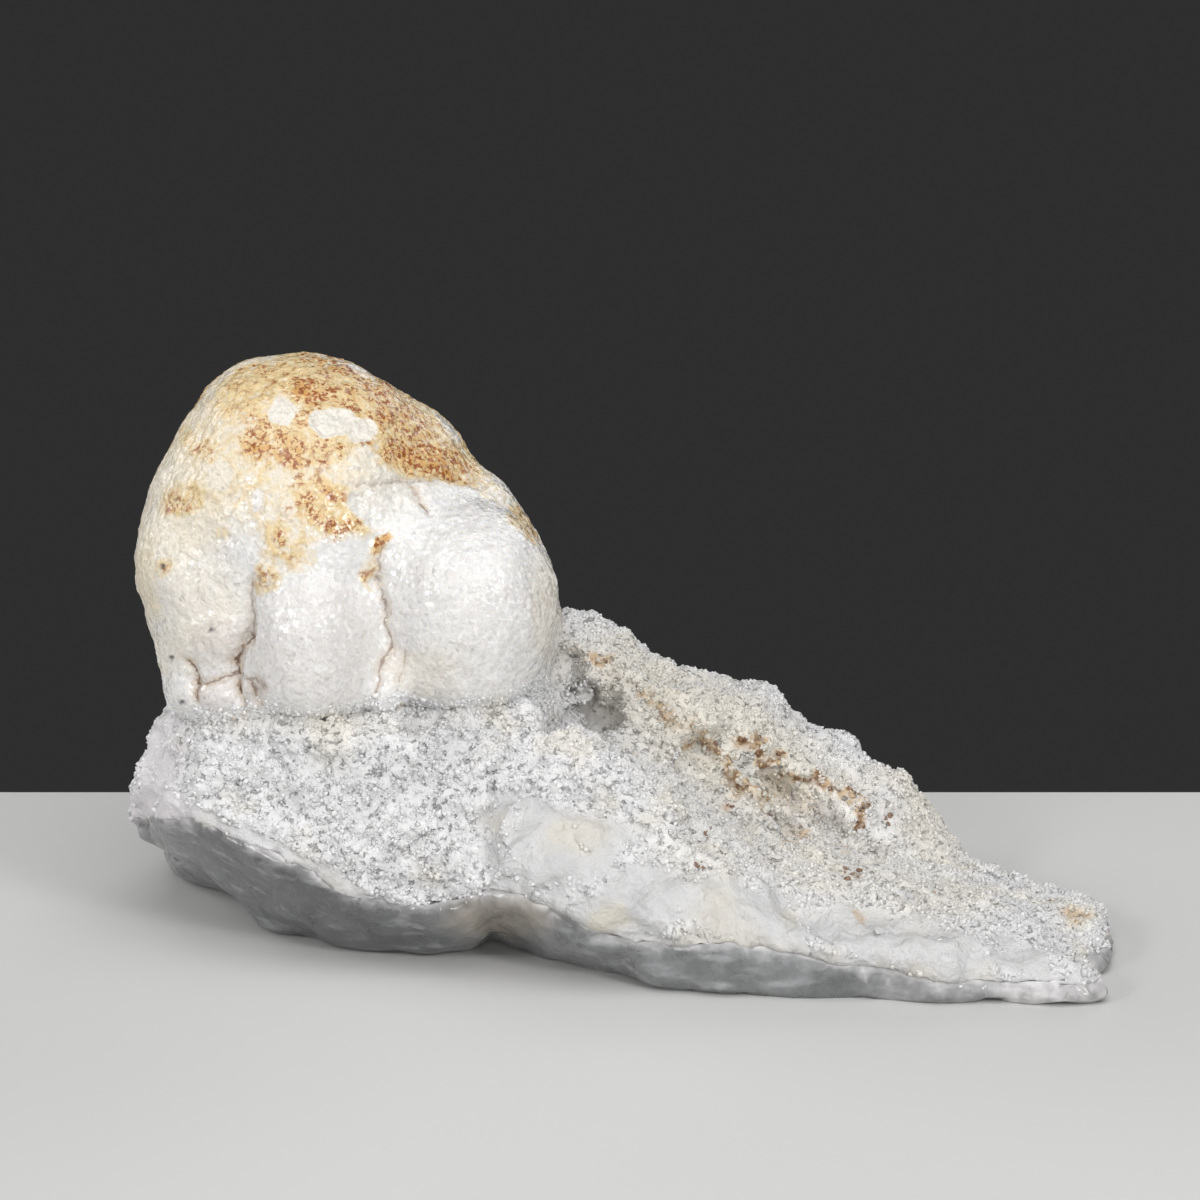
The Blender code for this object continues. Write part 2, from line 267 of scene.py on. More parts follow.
def facets(points, size, seed):
    """Small flat faces, each tilted its own way: the height at each point, about -1 to 1."""
    heights = []
    for spot in seeded(points, size, seed).tolist():
        core = noise.voronoi(spot)[1][0]
        tilt = noise.cell_vector(core * TILT_SPREAD) * 2.0 - Vector((1.0, 1.0, 1.0))
        heights.append(tilt.dot(Vector(spot) - core))
    return np.array(heights)


def in_photo(points):
    """Where points show in the photograph, in its pixels: across and down."""
    away = points - np.array(VIEW_TARGET)
    up = math.sin(VIEW_ELEVATION) * away[:, 1] + math.cos(VIEW_ELEVATION) * away[:, 2]
    depth = VIEW_DISTANCE + math.cos(VIEW_ELEVATION) * away[:, 1] - math.sin(VIEW_ELEVATION) * away[:, 2]
    reach = PIXELS_PER_MM * VIEW_DISTANCE / MM
    return PHOTO_SIZE / 2 + reach * away[:, 0] / depth, PHOTO_SIZE / 2 - reach * up / depth


def camera_place():
    """Where the camera stands, and the direction to it from the point that it looks at."""
    back = Vector((0.0, -math.cos(VIEW_ELEVATION), math.sin(VIEW_ELEVATION)))
    return VIEW_TARGET + back * VIEW_DISTANCE, back


def shown(points, normals, low=SHOWN[0], high=SHOWN[1]):
    """0 where points turn away from the camera, and 1 where they face it squarely enough."""
    stand, back = camera_place()
    sight = unit(np.array(stand) - points)
    return ease(low, high, np.clip((sight * normals).sum(axis=1), 0.0, 1.0))


def patch(across, down, spot):
    """A soft oval patch in the photograph: its middle, its half sizes and its turn in degrees."""
    x, y, half_width, half_height, turn = spot
    angle = math.radians(turn)
    dx, dy = across - x, down - y
    along = (dx * math.cos(angle) + dy * math.sin(angle)) / half_width
    over = (dy * math.cos(angle) - dx * math.sin(angle)) / half_height
    return 1.0 - ease(*PATCH_SOFTNESS, np.hypot(along, over))


def patches(across, down, spots):
    """The strongest of several patches at each point. Each spot has its strength last."""
    total = np.zeros(len(across))
    for *spot, strength in spots:
        total = np.maximum(total, patch(across, down, spot) * strength)
    return total


def line_gap(across, down, corners):
    """How far each point is from a broken line in the photograph, in pixels, below zero on one side of it."""
    nearest = np.full(len(across), np.inf)
    for (x0, y0), (x1, y1) in zip(corners, corners[1:]):
        dx, dy = x1 - x0, y1 - y0
        share = np.clip(((across - x0) * dx + (down - y0) * dy) / (dx * dx + dy * dy), 0.0, 1.0)
        gap = np.hypot(across - x0 - share * dx, down - y0 - share * dy)
        side = np.where((across - x0) * dy > (down - y0) * dx, 1.0, -1.0)
        nearest = np.where(gap < np.abs(nearest), gap * side, nearest)
    return nearest


def fade(gap, width):
    """1 on a line, fading away to either side of it over a width."""
    return np.exp(-((gap / width) ** 2))


def mixed(colours, colour, share):
    """Colours mixed towards one colour by each row's share."""
    return colours + (np.array(colour) - colours) * share[:, None]


def surface_of(piece):
    """A piece's surface, for finding the nearest place on it."""
    return BVHTree.FromObject(piece, bpy.context.evaluated_depsgraph_get())


def close_gap(piece, neighbour, reach):
    """Move what lies within reach of a neighbour onto it, and a little into it, so no gap shows."""
    surface = surface_of(neighbour)
    points = points_of(piece.data)
    for index, point in enumerate(points.tolist()):
        spot, normal, face, distance = surface.find_nearest(point, reach)
        if spot is not None:
            share = 1.0 - float(ease(CLOSED_SHARE * reach, reach, np.array(distance)))
            points[index] += (np.array(spot - normal * SINK) - points[index]) * share
    move_to(piece.data, points)


def gaps_to(piece, points, reach):
    """How far each point is from a piece, and how far above its surface. Both are endless out of reach."""
    surface = surface_of(piece)
    gaps = np.full((len(points), 2), np.inf)
    for index, point in enumerate(points.tolist()):
        spot, normal, face, distance = surface.find_nearest(point, reach)
        if spot is not None:
            gaps[index] = distance, (Vector(point) - spot).dot(normal)
    return gaps.T


# Materials

class Value:
    """A socket whose sums, written in Python, become Math nodes."""

    def __init__(self, finish, socket):
        self.finish = finish
        self.socket = socket

    def math(self, operation, *terms):
        """A Math node on one or two terms."""
        sockets = dict(zip(("Value", "Value_001"), terms))
        return self.finish.node("ShaderNodeMath", {"operation": operation}, sockets)

    def __add__(self, other):
        return self.math("ADD", self, other)

    def __radd__(self, other):
        return self.math("ADD", other, self)

    def __sub__(self, other):
        return self.math("SUBTRACT", self, other)

    def __rsub__(self, other):
        return self.math("SUBTRACT", other, self)

    def __mul__(self, other):
        return self.math("MULTIPLY", self, other)

    def __rmul__(self, other):
        return self.math("MULTIPLY", other, self)

    def __abs__(self):
        return self.math("ABSOLUTE", self)

    def rise(self, low, high):
        """0 below low, 1 above high, and a smooth rise between them."""
        return self.finish.node("ShaderNodeMapRange", {"interpolation_type": "SMOOTHSTEP"},
                                {"Value": self, "From Min": low, "From Max": high})


class Finish:
    """One material. Its nodes come from node(), and the rest are short names for what it uses most."""

    def __init__(self, name):
        self.material = bpy.data.materials.new(name)
        self.material.use_nodes = True
        self.tree = self.material.node_tree
        self.tree.nodes.clear()
        self.place = self.scaled(self.node("ShaderNodeTexCoord", output="Object"), 1.0 / MM)

    def node(self, kind, settings=None, sockets=None, output=0):
        """A node of a kind: first its settings, then its sockets' values or links, but not those of None."""
        made = self.tree.nodes.new(kind)
        for setting, value in (settings or {}).items():
            setattr(made, setting, value)
        by_name = {socket.identifier: socket for socket in made.inputs}
        for name, value in (sockets or {}).items():
            if value is None:
                continue
            if isinstance(value, Value):
                self.tree.links.new(value.socket, by_name[name])
            elif isinstance(value, tuple) and by_name[name].type == "RGBA":
                by_name[name].default_value = (*value, 1.0)
            else:
                by_name[name].default_value = value
        return Value(self, made.outputs[output]) if len(made.outputs) else made

    def vector(self, operation, first, second=None):
        """A Vector Math node on one or two vectors."""
        return self.node("ShaderNodeVectorMath", {"operation": operation},
                         {"Vector": first, "Vector_001": second})

    def scaled(self, vector, scale):
        """A vector or colour times a number."""
        return self.node("ShaderNodeVectorMath", {"operation": "SCALE"}, {"Vector": vector, "Scale": scale})

    def number(self, name):
        """A number kept on the mesh."""
        return self.node("ShaderNodeAttribute", {"attribute_name": name}, output="Fac")

    def colour(self, name):
        """A colour kept on the mesh."""
        return self.node("ShaderNodeAttribute", {"attribute_name": name}, output="Color")

    def noise(self, size, detail=3.0, place=None):
        """Noise from 0 to 1 with features of a size in millimetres."""
        return self.node("ShaderNodeTexNoise", {},
                         {"Vector": place or self.place, "Scale": 1.0 / size, "Detail": detail})

    def grains(self, size):
        """Cells of a size in millimetres, each in a colour of its own."""
        return self.node("ShaderNodeTexVoronoi", {}, {"Vector": self.place, "Scale": 1.0 / size}, "Color")

    def mix(self, first, second, factor):
        """One colour changed into another by a factor."""
        return self.node("ShaderNodeMix", {"data_type": "RGBA"},
                         {"Factor_Float": factor, "A_Color": first, "B_Color": second}, 2)

    def bump(self, height, depth, normal=None):
        """Relief of a depth in millimetres."""
        return self.node("ShaderNodeBump", {}, {"Height": height, "Distance": depth * MM, "Normal": normal})

    def tilted(self, size, strength):
        """Normals that differ from one small crystal face to the next."""
        turn = self.vector("SUBTRACT", self.grains(size), (0.5, 0.5, 0.5))
        plain = self.node("ShaderNodeNewGeometry", output="Normal")
        return self.vector("NORMALIZE", self.vector("ADD", plain, self.scaled(turn, strength)))

    def shade(self, sockets):
        """A Principled shader with the sockets given."""
        return self.node("ShaderNodeBsdfPrincipled", {}, sockets)

    def done(self, surface):
        """Show the surface and give the material."""
        self.node("ShaderNodeOutputMaterial", {}, {"Surface": surface})
        return self.material


# The sizes of the howlite's markings and crystal faces, in millimetres.
CLOUD = 1.4
BLOTCH = 0.5
WISP = 0.26
THREAD = 0.17
DROP = 0.24
CRYSTAL_FACE = 0.15
# How strongly those faces tilt, how deep the skin's relief is, and how far and in what colour light spreads.
FACE_TILT = 0.42
SKIN_RELIEF = 0.11
HOWLITE_GLOW = (1.0, 0.75, 0.5)
HOWLITE_GLOW_REACH = 0.5 * MM


def stained(finish, colour, wisp, blotch):
    """A colour under the howlite's stain: a yellow wash, ochre halos, and brown threads and drops."""
    stain = finish.number("stain")
    brown = finish.number("brown")
    uneven = blotch * 1.3 + wisp * 1.5
    colour = finish.mix(colour, STAIN_WASH, (stain * (uneven - 0.45)).rise(0.08, 0.75))
    halo = (stain * 0.5 + brown * 0.35) * (uneven - 0.65)
    colour = finish.mix(colour, STAIN_OCHRE, halo.rise(0.22, 0.9))
    thread = (1.0 - abs(wisp - 0.5).rise(0.025, 0.08)) * finish.noise(THREAD, 1.0).rise(0.44, 0.52)
    drop = finish.noise(DROP, 1.0).rise(0.55, 0.61)
    thick = ((stain * 0.8 + brown * 0.5) * (blotch * 3.4 - 0.7)).rise(0.3, 1.1)
    return finish.mix(colour, STAIN_BROWN, (thread * 0.85 + drop * 0.8).rise(0.0, 1.0) * thick)


def creased(finish, colour, wisp, blotch):
    """A colour with the creases on it: tan painted shade beside them, and a broken brown line of stain and
    painted shade along the bottom.
    """
    crease = finish.number("crease")
    colour = finish.mix(colour, CREASE_SHADE_TAN, crease * (wisp * 1.6 - 0.2))
    core = 1.0 - abs(finish.number("crease_gap") + (wisp - 0.5) * 7.0).rise(0.3, 2.0)
    return finish.mix(colour, CREASE_BROWN, core * crease * (blotch * 3.0 - 0.6).rise(0.2, 1.0))


def howlite():
    """White stone like porcelain, cream at its sides, stained, with small crystal faces that glint."""
    finish = Finish("howlite")
    cloud = finish.noise(CLOUD)
    blotch = finish.noise(BLOTCH, 2.0)
    wisp = finish.noise(WISP, 2.0)
    cream = finish.number("cream")
    colour = finish.mix(HOWLITE_WHITE, HOWLITE_CREAM, cream * (0.45 + cloud * 0.6))
    colour = stained(finish, colour, wisp, blotch)
    colour = finish.mix(colour, DULL_PINK, finish.number("dull") * (0.3 + cloud * 0.4))
    colour = creased(finish, colour, wisp, blotch)
    colour = finish.mix(colour, SPECK_BLACK, finish.number("speck"))
    chosen = finish.node("ShaderNodeSeparateColor", {}, {"Color": finish.grains(CRYSTAL_FACE)})
    bright = chosen.rise(0.45, 0.55) * (1.0 - cream * 0.75)
    relief = finish.noise(WISP) * (1.0 - bright * 0.6)
    return finish.done(finish.shade({
        "Base Color": colour, "Roughness": 0.46 - bright * 0.38, "IOR": 1.6,
        "Normal": finish.bump(relief, SKIN_RELIEF, finish.tilted(CRYSTAL_FACE, FACE_TILT)),
        "Coat Weight": bright * 0.5, "Coat Roughness": 0.12, "Coat IOR": 1.6,
        "Subsurface Weight": 0.2, "Subsurface Radius": HOWLITE_GLOW, "Subsurface Scale": HOWLITE_GLOW_REACH,
    }))


# The rock's pits, which painted shade darkens, its cloudy tone and its grit, in millimetres, and how deep
# they are.
PIT = 0.28
SHADE = 0.7
GRIT = 0.22
PIT_RELIEF = 0.12
GRIT_RELIEF = 0.1
# How light spreads in the rock, in its red, green and blue, and how far in it and in its crystals.
ROCK_GLOW = (1.0, 0.95, 0.9)
ROCK_GLOW_REACH = 0.3 * MM
CRYSTAL_GLOW_REACH = 0.15 * MM


def white_rock():
    """The rock's own skin, in the colours kept on it, with small pits darkened by painted shade where it is
    sugary.
    """
    finish = Finish("white rock")
    sugary = finish.number("sugary")
    pits = finish.noise(PIT).rise(0.3, 0.46)
    # Painted shade: sugary skin is darker where its pits sink low.
    light = (0.9 + finish.noise(SHADE, 4.0) * 0.2) * (1.0 - sugary * (0.42 - pits * 0.42))
    pitted = finish.bump(pits * sugary, PIT_RELIEF)
    return finish.done(finish.shade({
        "Base Color": finish.scaled(finish.colour("tint"), light), "Roughness": 0.45,
        "Normal": finish.bump(finish.noise(GRIT, 5.0), GRIT_RELIEF, pitted),
        "Subsurface Weight": 0.2, "Subsurface Radius": ROCK_GLOW, "Subsurface Scale": ROCK_GLOW_REACH,
    }))


def sugar_grains():
    """The small crystals on the rock, in the colours kept on them."""
    finish = Finish("sugar grains")
    return finish.done(finish.shade({
        "Base Color": finish.colour("tint"), "Roughness": 0.4, "IOR": 1.55,
        "Subsurface Weight": 0.4, "Subsurface Radius": ROCK_GLOW, "Subsurface Scale": CRYSTAL_GLOW_REACH,
    }))


# The glassy layer's streaks of painted reflection, how they are drawn out, its veils, frost and ripples, in
# millimetres.
STREAK = 0.625
STREAK_SHAPE = (0.35, 0.6, 1.3)
VEIL = 1.2
FROST = 0.7
RIPPLE = 0.8
RIPPLE_RELIEF = 0.1
GLASS_IOR = 1.52


def grey_glass():
    """The grey see-through layer: clear glass mixed with a cloudy grey in its veils and frost, with painted
    shade and painted reflections.
    """
    finish = Finish("grey glass")
    streak = finish.noise(STREAK, 5.0, finish.vector("MULTIPLY", finish.place, STREAK_SHAPE))
    veil = finish.noise(VEIL, 4.0).rise(0.38, 0.7)
    frost = (finish.number("frost") * (finish.noise(FROST) + 0.2)).rise(0.05, 1.1)
    # Painted shade on its underside.
    colour = finish.mix(GLASS_GREY, GLASS_SHADE, finish.number("glass_shade"))
    # Pale streaks of painted reflection.
    colour = finish.mix(colour, GLASS_REFLECTION, streak.rise(0.52, 0.7) * 0.55)
    colour = finish.mix(colour, GLASS_BEIGE, finish.number("beige"))
    colour = finish.mix(colour, GLASS_FROST, frost)
    both = {"IOR": GLASS_IOR, "Normal": finish.bump(finish.noise(RIPPLE, 4.0), RIPPLE_RELIEF)}
    clear = finish.shade({"Base Color": GLASS_CLEAR, "Roughness": 0.08, "Transmission Weight": 1.0, **both})
    cloudy = finish.shade({"Base Color": colour, "Roughness": 0.2, **both})
    return finish.done(finish.node("ShaderNodeMixShader", {}, {
        "Fac": 0.45 + veil * 0.3 + frost * 0.5, "Shader": clear, "Shader_001": cloudy}))


# The nodule. Places are pixels of the photograph, and a patch is its middle, half sizes, turn and strength.

STAIN_PATCHES = (
    (270, 440, 120, 110, 20, 0.42), (330, 392, 78, 34, 18, 0.95), (290, 374, 62, 24, -14, 0.8),
    (246, 394, 50, 34, -40, 0.75), (400, 425, 80, 38, 38, 0.9), (300, 440, 70, 40, 5, 0.8),
    (434, 460, 70, 26, 14, 1.0), (270, 445, 45, 30, 0, 0.75), (330, 505, 52, 34, 20, 0.85),
    (285, 540, 34, 40, -35, 0.6), (268, 575, 16, 24, 0, 0.55), (384, 545, 18, 14, -30, 0.9),
    (205, 447, 18, 24, 0, 0.65), (370, 575, 12, 22, 0, 0.5), (523, 522, 12, 30, -30, 0.65),
    (183, 498, 28, 24, 0, 0.65), (187, 437, 13, 13, 0, 0.6), (163, 566, 11, 13, 0, 0.5),
    (220, 537, 9, 9, 0, 0.5), (258, 478, 30, 22, 0, 0.45), (420, 495, 60, 8, 8, 0.35),
    (496, 492, 26, 12, 35, 0.4),
)
BROWN_PATCHES = (
    (335, 364, 36, 8, 18, 0.95), (375, 382, 34, 9, 28, 0.8), (304, 393, 14, 15, 0, 0.95),
    (254, 432, 18, 16, 0, 0.85), (272, 450, 34, 15, 0, 0.9), (205, 452, 7, 8, 0, 0.8),
    (252, 371, 14, 5, -15, 0.7), (300, 462, 40, 14, 10, 0.75), (262, 575, 12, 12, 0, 0.5),
    (400, 425, 60, 26, 38, 0.45), (308, 410, 16, 24, 30, 0.55), (338, 453, 9, 8, 0, 0.6),
    (370, 445, 11, 8, 0, 0.9), (430, 460, 60, 18, 14, 0.72), (298, 484, 14, 9, 0, 0.6),
    (334, 494, 11, 8, 0, 1.0), (305, 511, 22, 8, 5, 0.85), (340, 530, 20, 12, 35, 0.85),
    (386, 542, 16, 9, -35, 0.95), (280, 536, 12, 10, 0, 0.5), (388, 634, 3, 16, 0, 0.6),
    (368, 576, 9, 14, 0, 0.45), (290, 560, 12, 12, 0, 0.35), (530, 530, 8, 16, -25, 0.45),
    (187, 437, 5, 5, 0, 0.35), (163, 566, 3, 3, 0, 0.8), (178, 505, 16, 12, 0, 0.45),
)
CLEAN_PATCHES = (
    (332, 420, 24, 19, -18, 1.0), (356, 430, 22, 12, 24, 1.0), (282, 415, 18, 17, 0, 0.8),
    (378, 503, 38, 24, 8, 1.0), (455, 505, 60, 24, 12, 1.0), (260, 498, 6, 11, 0, 0.7),
    (440, 590, 78, 80, 0, 1.0), (315, 640, 62, 72, 0, 1.0), (215, 475, 20, 16, 0, 0.7),
)
CREAM_PATCHES = (
    (250, 420, 110, 90, 20, 0.55), (185, 480, 70, 120, 20, 0.9), (140, 570, 26, 90, 0, 1.0),
    (200, 600, 50, 60, 0, 0.5), (330, 440, 120, 90, 0, 0.55), (545, 600, 22, 60, 0, 0.45),
    (420, 668, 50, 26, 0, 0.35), (170, 650, 34, 30, 0, 0.5),
)
DULL_PATCHES = (
    (218, 640, 27, 27, 0, 0.75), (256, 690, 14, 14, 0, 1.0), (215, 690, 27, 24, 0, 0.75),
    (385, 665, 16, 26, 0, 0.35), (314, 640, 60, 72, 0, 0.45), (474, 600, 86, 90, 0, 0.14),
    (196, 600, 14, 10, 0, 0.2),
)
CHIP_PATCHES = (
    (332, 420, 22, 17, -18, 0.8), (356, 430, 20, 11, 24, 0.8), (378, 503, 36, 22, 8, 1.0),
    (256, 690, 12, 11, 0, 0.6),
)

# Each crease: its corners, how deep it is in millimetres, how wide in pixels, and how strongly painted shade
# and stain mark it.
CREASES = (
    (((384, 548), (377, 560), (376, 580)), 0.18, 6.0, 0.5),
    (((376, 580), (380, 600), (387, 618), (388, 648), (379, 671), (375, 698)), 0.18, 6.0, 0.62),
    (((402, 652), (404, 666), (400, 680)), 0.06, 4.0, 0.4),
    (((253, 583), (249, 610), (247, 640)), 0.24, 6.5, 0.5),
    (((247, 640), (233, 660), (235, 682), (244, 710)), 0.3, 5.5, 1.0),
    (((191, 660), (199, 680), (200, 697)), 0.22, 6.0, 1.0),
    (((200, 683), (216, 680), (234, 676)), 0.12, 5.0, 0.8),
    (((247, 679), (260, 677), (268, 686)), 0.08, 4.0, 0.55),
    (((252, 684), (258, 691), (264, 702)), 0.06, 3.5, 0.7),
    (((413, 486), (418, 498), (425, 511)), 0.1, 4.0, 0.9),
    (((359, 486), (400, 481), (440, 480), (481, 487)), 0.1, 3.5, 0.3),
)
# How far from a crease its painted shade and stain reach, and beyond what gap no crease counts, in pixels.
CREASE_SHADE = 4.5
CREASE_FAR = 12.0
# Where the creases run out at the foot, and the share of their depth that they keep there.
CREASE_END = (715.0, 680.0)
CREASE_LEAST = 0.3
# How far the front lobes stand out: middles, half sizes, and height in millimetres.
BULGES = (
    (314, 642, 66, 76, 0.38), (474, 596, 92, 92, 0.3), (214, 640, 32, 32, 0.3),
    (172, 655, 26, 42, 0.2), (217, 695, 18, 16, 0.25), (181, 690, 16, 16, 0.12),
)
# How far the lobes' feet are filled out in millimetres, and where in the photograph.
FOOT_HEIGHT = 0.24
FOOT_DOWN = 692
FOOT_SPREAD = 24
FOOT_LEFT = (150.0, 190.0)
FOOT_RIGHT = (570.0, 520.0)
# Black specks: their middles and half sizes, in pixels.
SPECKS = ((213, 627, 3.5), (176, 656, 3.5), (188, 700, 3.0), (163, 566, 3.5))

# Fields of lumps: the strength of each, its size in millimetres, its seed and its octaves.
NODULE_LUMPS = ((0.07, 2.4, 4.0, 3), (0.035, 0.8, 6.0, 3), (0.022, 0.32, 5.0, 2))
CREASE_BEND = (5.0, 0.9, 2.0, 2)
MARK_BENDS = ((5.0, 0.9, 3.0, 2), (7.0, 1.8, 7.0, 2), (7.0, 1.8, 8.0, 2))
CROWN_BEND = (0.22, 3.6, 9.0, 3)
BROWN_BEHIND = (0.9, 1.3, 12.0, -0.1, 0.5)
# How much a crease is bent up or down for each pixel that it is bent sideways.
DOWN_SHARE = 0.6
# The small flat faces: their size in millimetres and their seed, their height, and how much higher in chips.
NODULE_FACETS = (0.34, 1.0)
FACET_HEIGHT = 0.03
CHIP_FACET_HEIGHT = 0.05
CHIP_DEPTH = 0.1
CHIP_EDGE = (0.35, 0.6)
CLEAN_EDGE = (0.3, 0.6)
SHAPES_SHOWN = (0.02, 0.3)
STAINS_SHOWN = (0.0, 0.12)
# The guessed stain on the back of the crown: its height, its edge and its strength.
CROWN_BOTTOM = 10.5 * MM
CROWN_HEIGHT = 11.0 * MM
CROWN_EDGE = (0.35, 0.85)
CROWN_STRENGTH = 0.85
CREAM_BEHIND = 0.6

# Places where the outline is brought onto the photograph's: middle, half sizes, and the shift, all in pixels.
NODULE_NUDGES = (
    (138, 555, 46, 50, -5, 0), (150, 640, 40, 50, 4, 0), (170, 425, 45, 60, 6, 3), (355, 362, 42, 28, 0, 4),
    (550, 565, 34, 60, -4, 2), (130, 590, 22, 30, 4, 0),
)
ROCK_NUDGES = (
    (590, 615, 34, 22, 0, -8), (678, 656, 50, 32, 0, 14), (780, 708, 46, 26, 2, -8),
    (136, 785, 22, 20, -5, 0), (142, 742, 24, 22, 8, 0),
)
# How far the line where the nodule meets the rock is let down at the front, and where in the photograph.
RIM_DROP = 0.8 * MM
RIM_DOWN = 700
RIM_SPREAD = 48
RIM_LEFT = (120.0, 170.0)
RIM_RIGHT = (600.0, 545.0)
RIM_DEPTH = 4.0 * MM


def nudge(mesh, nudges):
    """Shift parts of a mesh across and down in the photograph's plane."""
    points = points_of(mesh)
    across, down = in_photo(points)
    for *oval, right, below in nudges:
        share = patch(across, down, (*oval, 0.0)) * MM / PIXELS_PER_MM
        points[:, 0] += share * right
        points[:, 2] -= share * below
    move_to(mesh, points)


def lower_rim(mesh):
    """Bring the line where the nodule meets the rock down at the front, to where the photograph has it."""
    points = points_of(mesh)
    across, down = in_photo(points)
    front = ease(RIM_DEPTH, 0.0, points[:, 1]) * ease(*RIM_LEFT, across) * ease(*RIM_RIGHT, across)
    points[:, 2] -= RIM_DROP * fade(down - RIM_DOWN, RIM_SPREAD) * front
    move_to(mesh, points)


def lobes(across, down):
    """How far the front lobes and their feet stand out, in millimetres."""
    foot = fade(down - FOOT_DOWN, FOOT_SPREAD) * ease(*FOOT_LEFT, across) * ease(*FOOT_RIGHT, across)
    heights = FOOT_HEIGHT * foot
    for x, y, half_width, half_height, height in BULGES:
        out = np.hypot((across - x) / half_width, (down - y) / half_height)
        heights += height * (1.0 - np.clip(out, 0.0, 1.0) ** 2)
    return heights


def creases(across, down):
    """How deep the creases are in millimetres, how much painted shade and stain they get, and the gap to the
    nearest in pixels.
    """
    depths = np.zeros(len(across))
    stain = np.zeros(len(across))
    nearest = np.full(len(across), CREASE_FAR)
    for corners, depth, width, strength in CREASES:
        gap = line_gap(across, down, corners)
        depths += depth * fade(gap, width)
        stain = np.maximum(stain, strength * fade(gap, CREASE_SHADE))
        nearest = np.where(np.abs(gap) < np.abs(nearest), gap, nearest)
    return depths, stain, nearest


def specks(across, down):
    """Where the black specks are, 1 at their middles."""
    speck = np.zeros(len(across))
    for x, y, half in SPECKS:
        speck = np.maximum(speck, ease(half, 0.4 * half, np.hypot(across - x, down - y)))
    return speck


def stain_nodule(mesh, points, normals, across, down):
    """Keep the nodule's stains on it: the photograph's in front, and others of their kind behind."""
    clean = ease(*CLEAN_EDGE, patches(across, down, CLEAN_PATCHES))
    height_share = (points[:, 2] - CROWN_BOTTOM) / CROWN_HEIGHT
    crown = CROWN_STRENGTH * ease(*CROWN_EDGE, height_share + waves(points, *CROWN_BEND))
    brown = crown * clouds(points, *BROWN_BEHIND)
    stains = {
        "stain": (patches(across, down, STAIN_PATCHES) * (1.0 - clean), crown),
        "brown": (patches(across, down, BROWN_PATCHES), brown),
        "cream": (patches(across, down, CREAM_PATCHES), CREAM_BEHIND),
    }
    share = shown(points, normals, *STAINS_SHOWN)
    for name, (front, behind) in stains.items():
        keep_numbers(mesh, name, behind + (front - behind) * share)


def shape_nodule(piece):
    """Give the nodule's skin its lobes, creases, chips and small faces, and keep its markings on it."""
    mesh = piece.data
    lower_rim(mesh)
    nudge(mesh, NODULE_NUDGES)
    points, normals = points_of(mesh), normals_of(mesh)
    across, down = in_photo(points)
    seen = shown(points, normals, *SHAPES_SHOWN)
    bend = waves(points, *CREASE_BEND)
    down_bend, across_wave, down_wave = (waves(points, *field) for field in MARK_BENDS)
    bent_across, bent_down = across + bend + across_wave, down + down_bend + down_wave
    depths, crease_shade_and_stain, crease_gap = creases(across + bend, down - DOWN_SHARE * bend)
    depths *= CREASE_LEAST + (1.0 - CREASE_LEAST) * ease(*CREASE_END, down)
    chips = patches(bent_across, bent_down, CHIP_PATCHES) * seen
    heights = sum(waves(points, *field) for field in NODULE_LUMPS)
    heights += (lobes(across, down) - depths) * seen - CHIP_DEPTH * ease(*CHIP_EDGE, chips)
    heights += (FACET_HEIGHT + CHIP_FACET_HEIGHT * chips) * facets(points, *NODULE_FACETS)
    push(mesh, heights * MM)
    stain_nodule(mesh, points, normals, bent_across, bent_down)
    keep_numbers(mesh, "crease_gap", crease_gap)
    dull = patches(bent_across, bent_down, DULL_PATCHES)
    # The crease marks kept here are painted shade and stain.
    for name, mark in (("crease", crease_shade_and_stain), ("dull", dull), ("speck", specks(across, down))):
        keep_numbers(mesh, name, mark * seen)


# The white rock

COMPACT_PATCHES = (
    (560, 845, 95, 62, 15, 0.95), (160, 815, 40, 38, 0, 1.1), (160, 755, 30, 60, 0, 0.8),
    (720, 908, 130, 40, 14, 1.0), (612, 915, 60, 34, 0, 1.2), (900, 945, 120, 38, 14, 1.0),
    (1030, 970, 70, 30, 14, 0.9), (480, 905, 70, 22, 10, 0.6), (590, 705, 30, 12, 71, 1.3),
    (650, 890, 60, 40, 10, 0.7),
)
ROCK_CREAM_PATCHES = (
    (578, 835, 36, 26, 0, 0.5), (612, 918, 26, 16, 0, 0.8), (160, 830, 30, 40, 0, 0.4),
    (930, 890, 70, 26, 20, 0.45), (750, 785, 24, 16, 20, 0.8), (300, 722, 120, 16, 0, 0.3),
    (700, 860, 60, 26, 20, 0.3), (1075, 915, 26, 16, 0, 0.8), (950, 800, 60, 80, 30, 0.6),
    (720, 740, 180, 60, 32, 0.75), (620, 680, 60, 50, 30, 0.6), (800, 835, 180, 55, 28, 0.4),
)
ROCK_TAN_PATCHES = (
    (600, 657, 18, 10, 0, 0.7), (668, 718, 30, 9, 28, 0.5), (750, 790, 24, 13, 40, 0.45),
    (689, 746, 6, 5, 0, 0.8), (727, 804, 6, 7, 0, 0.6), (803, 836, 10, 6, 0, 0.6),
    (766, 808, 16, 5, 30, 0.5), (846, 848, 12, 7, 0, 0.5), (858, 914, 12, 6, 30, 0.6),
    (1075, 915, 20, 10, 0, 0.6), (640, 690, 24, 10, 30, 0.3), (800, 800, 60, 20, 35, 0.3),
    (790, 830, 40, 10, 30, 0.35), (610, 675, 20, 18, 0, 0.25), (590, 702, 34, 13, 71, 0.28),
)
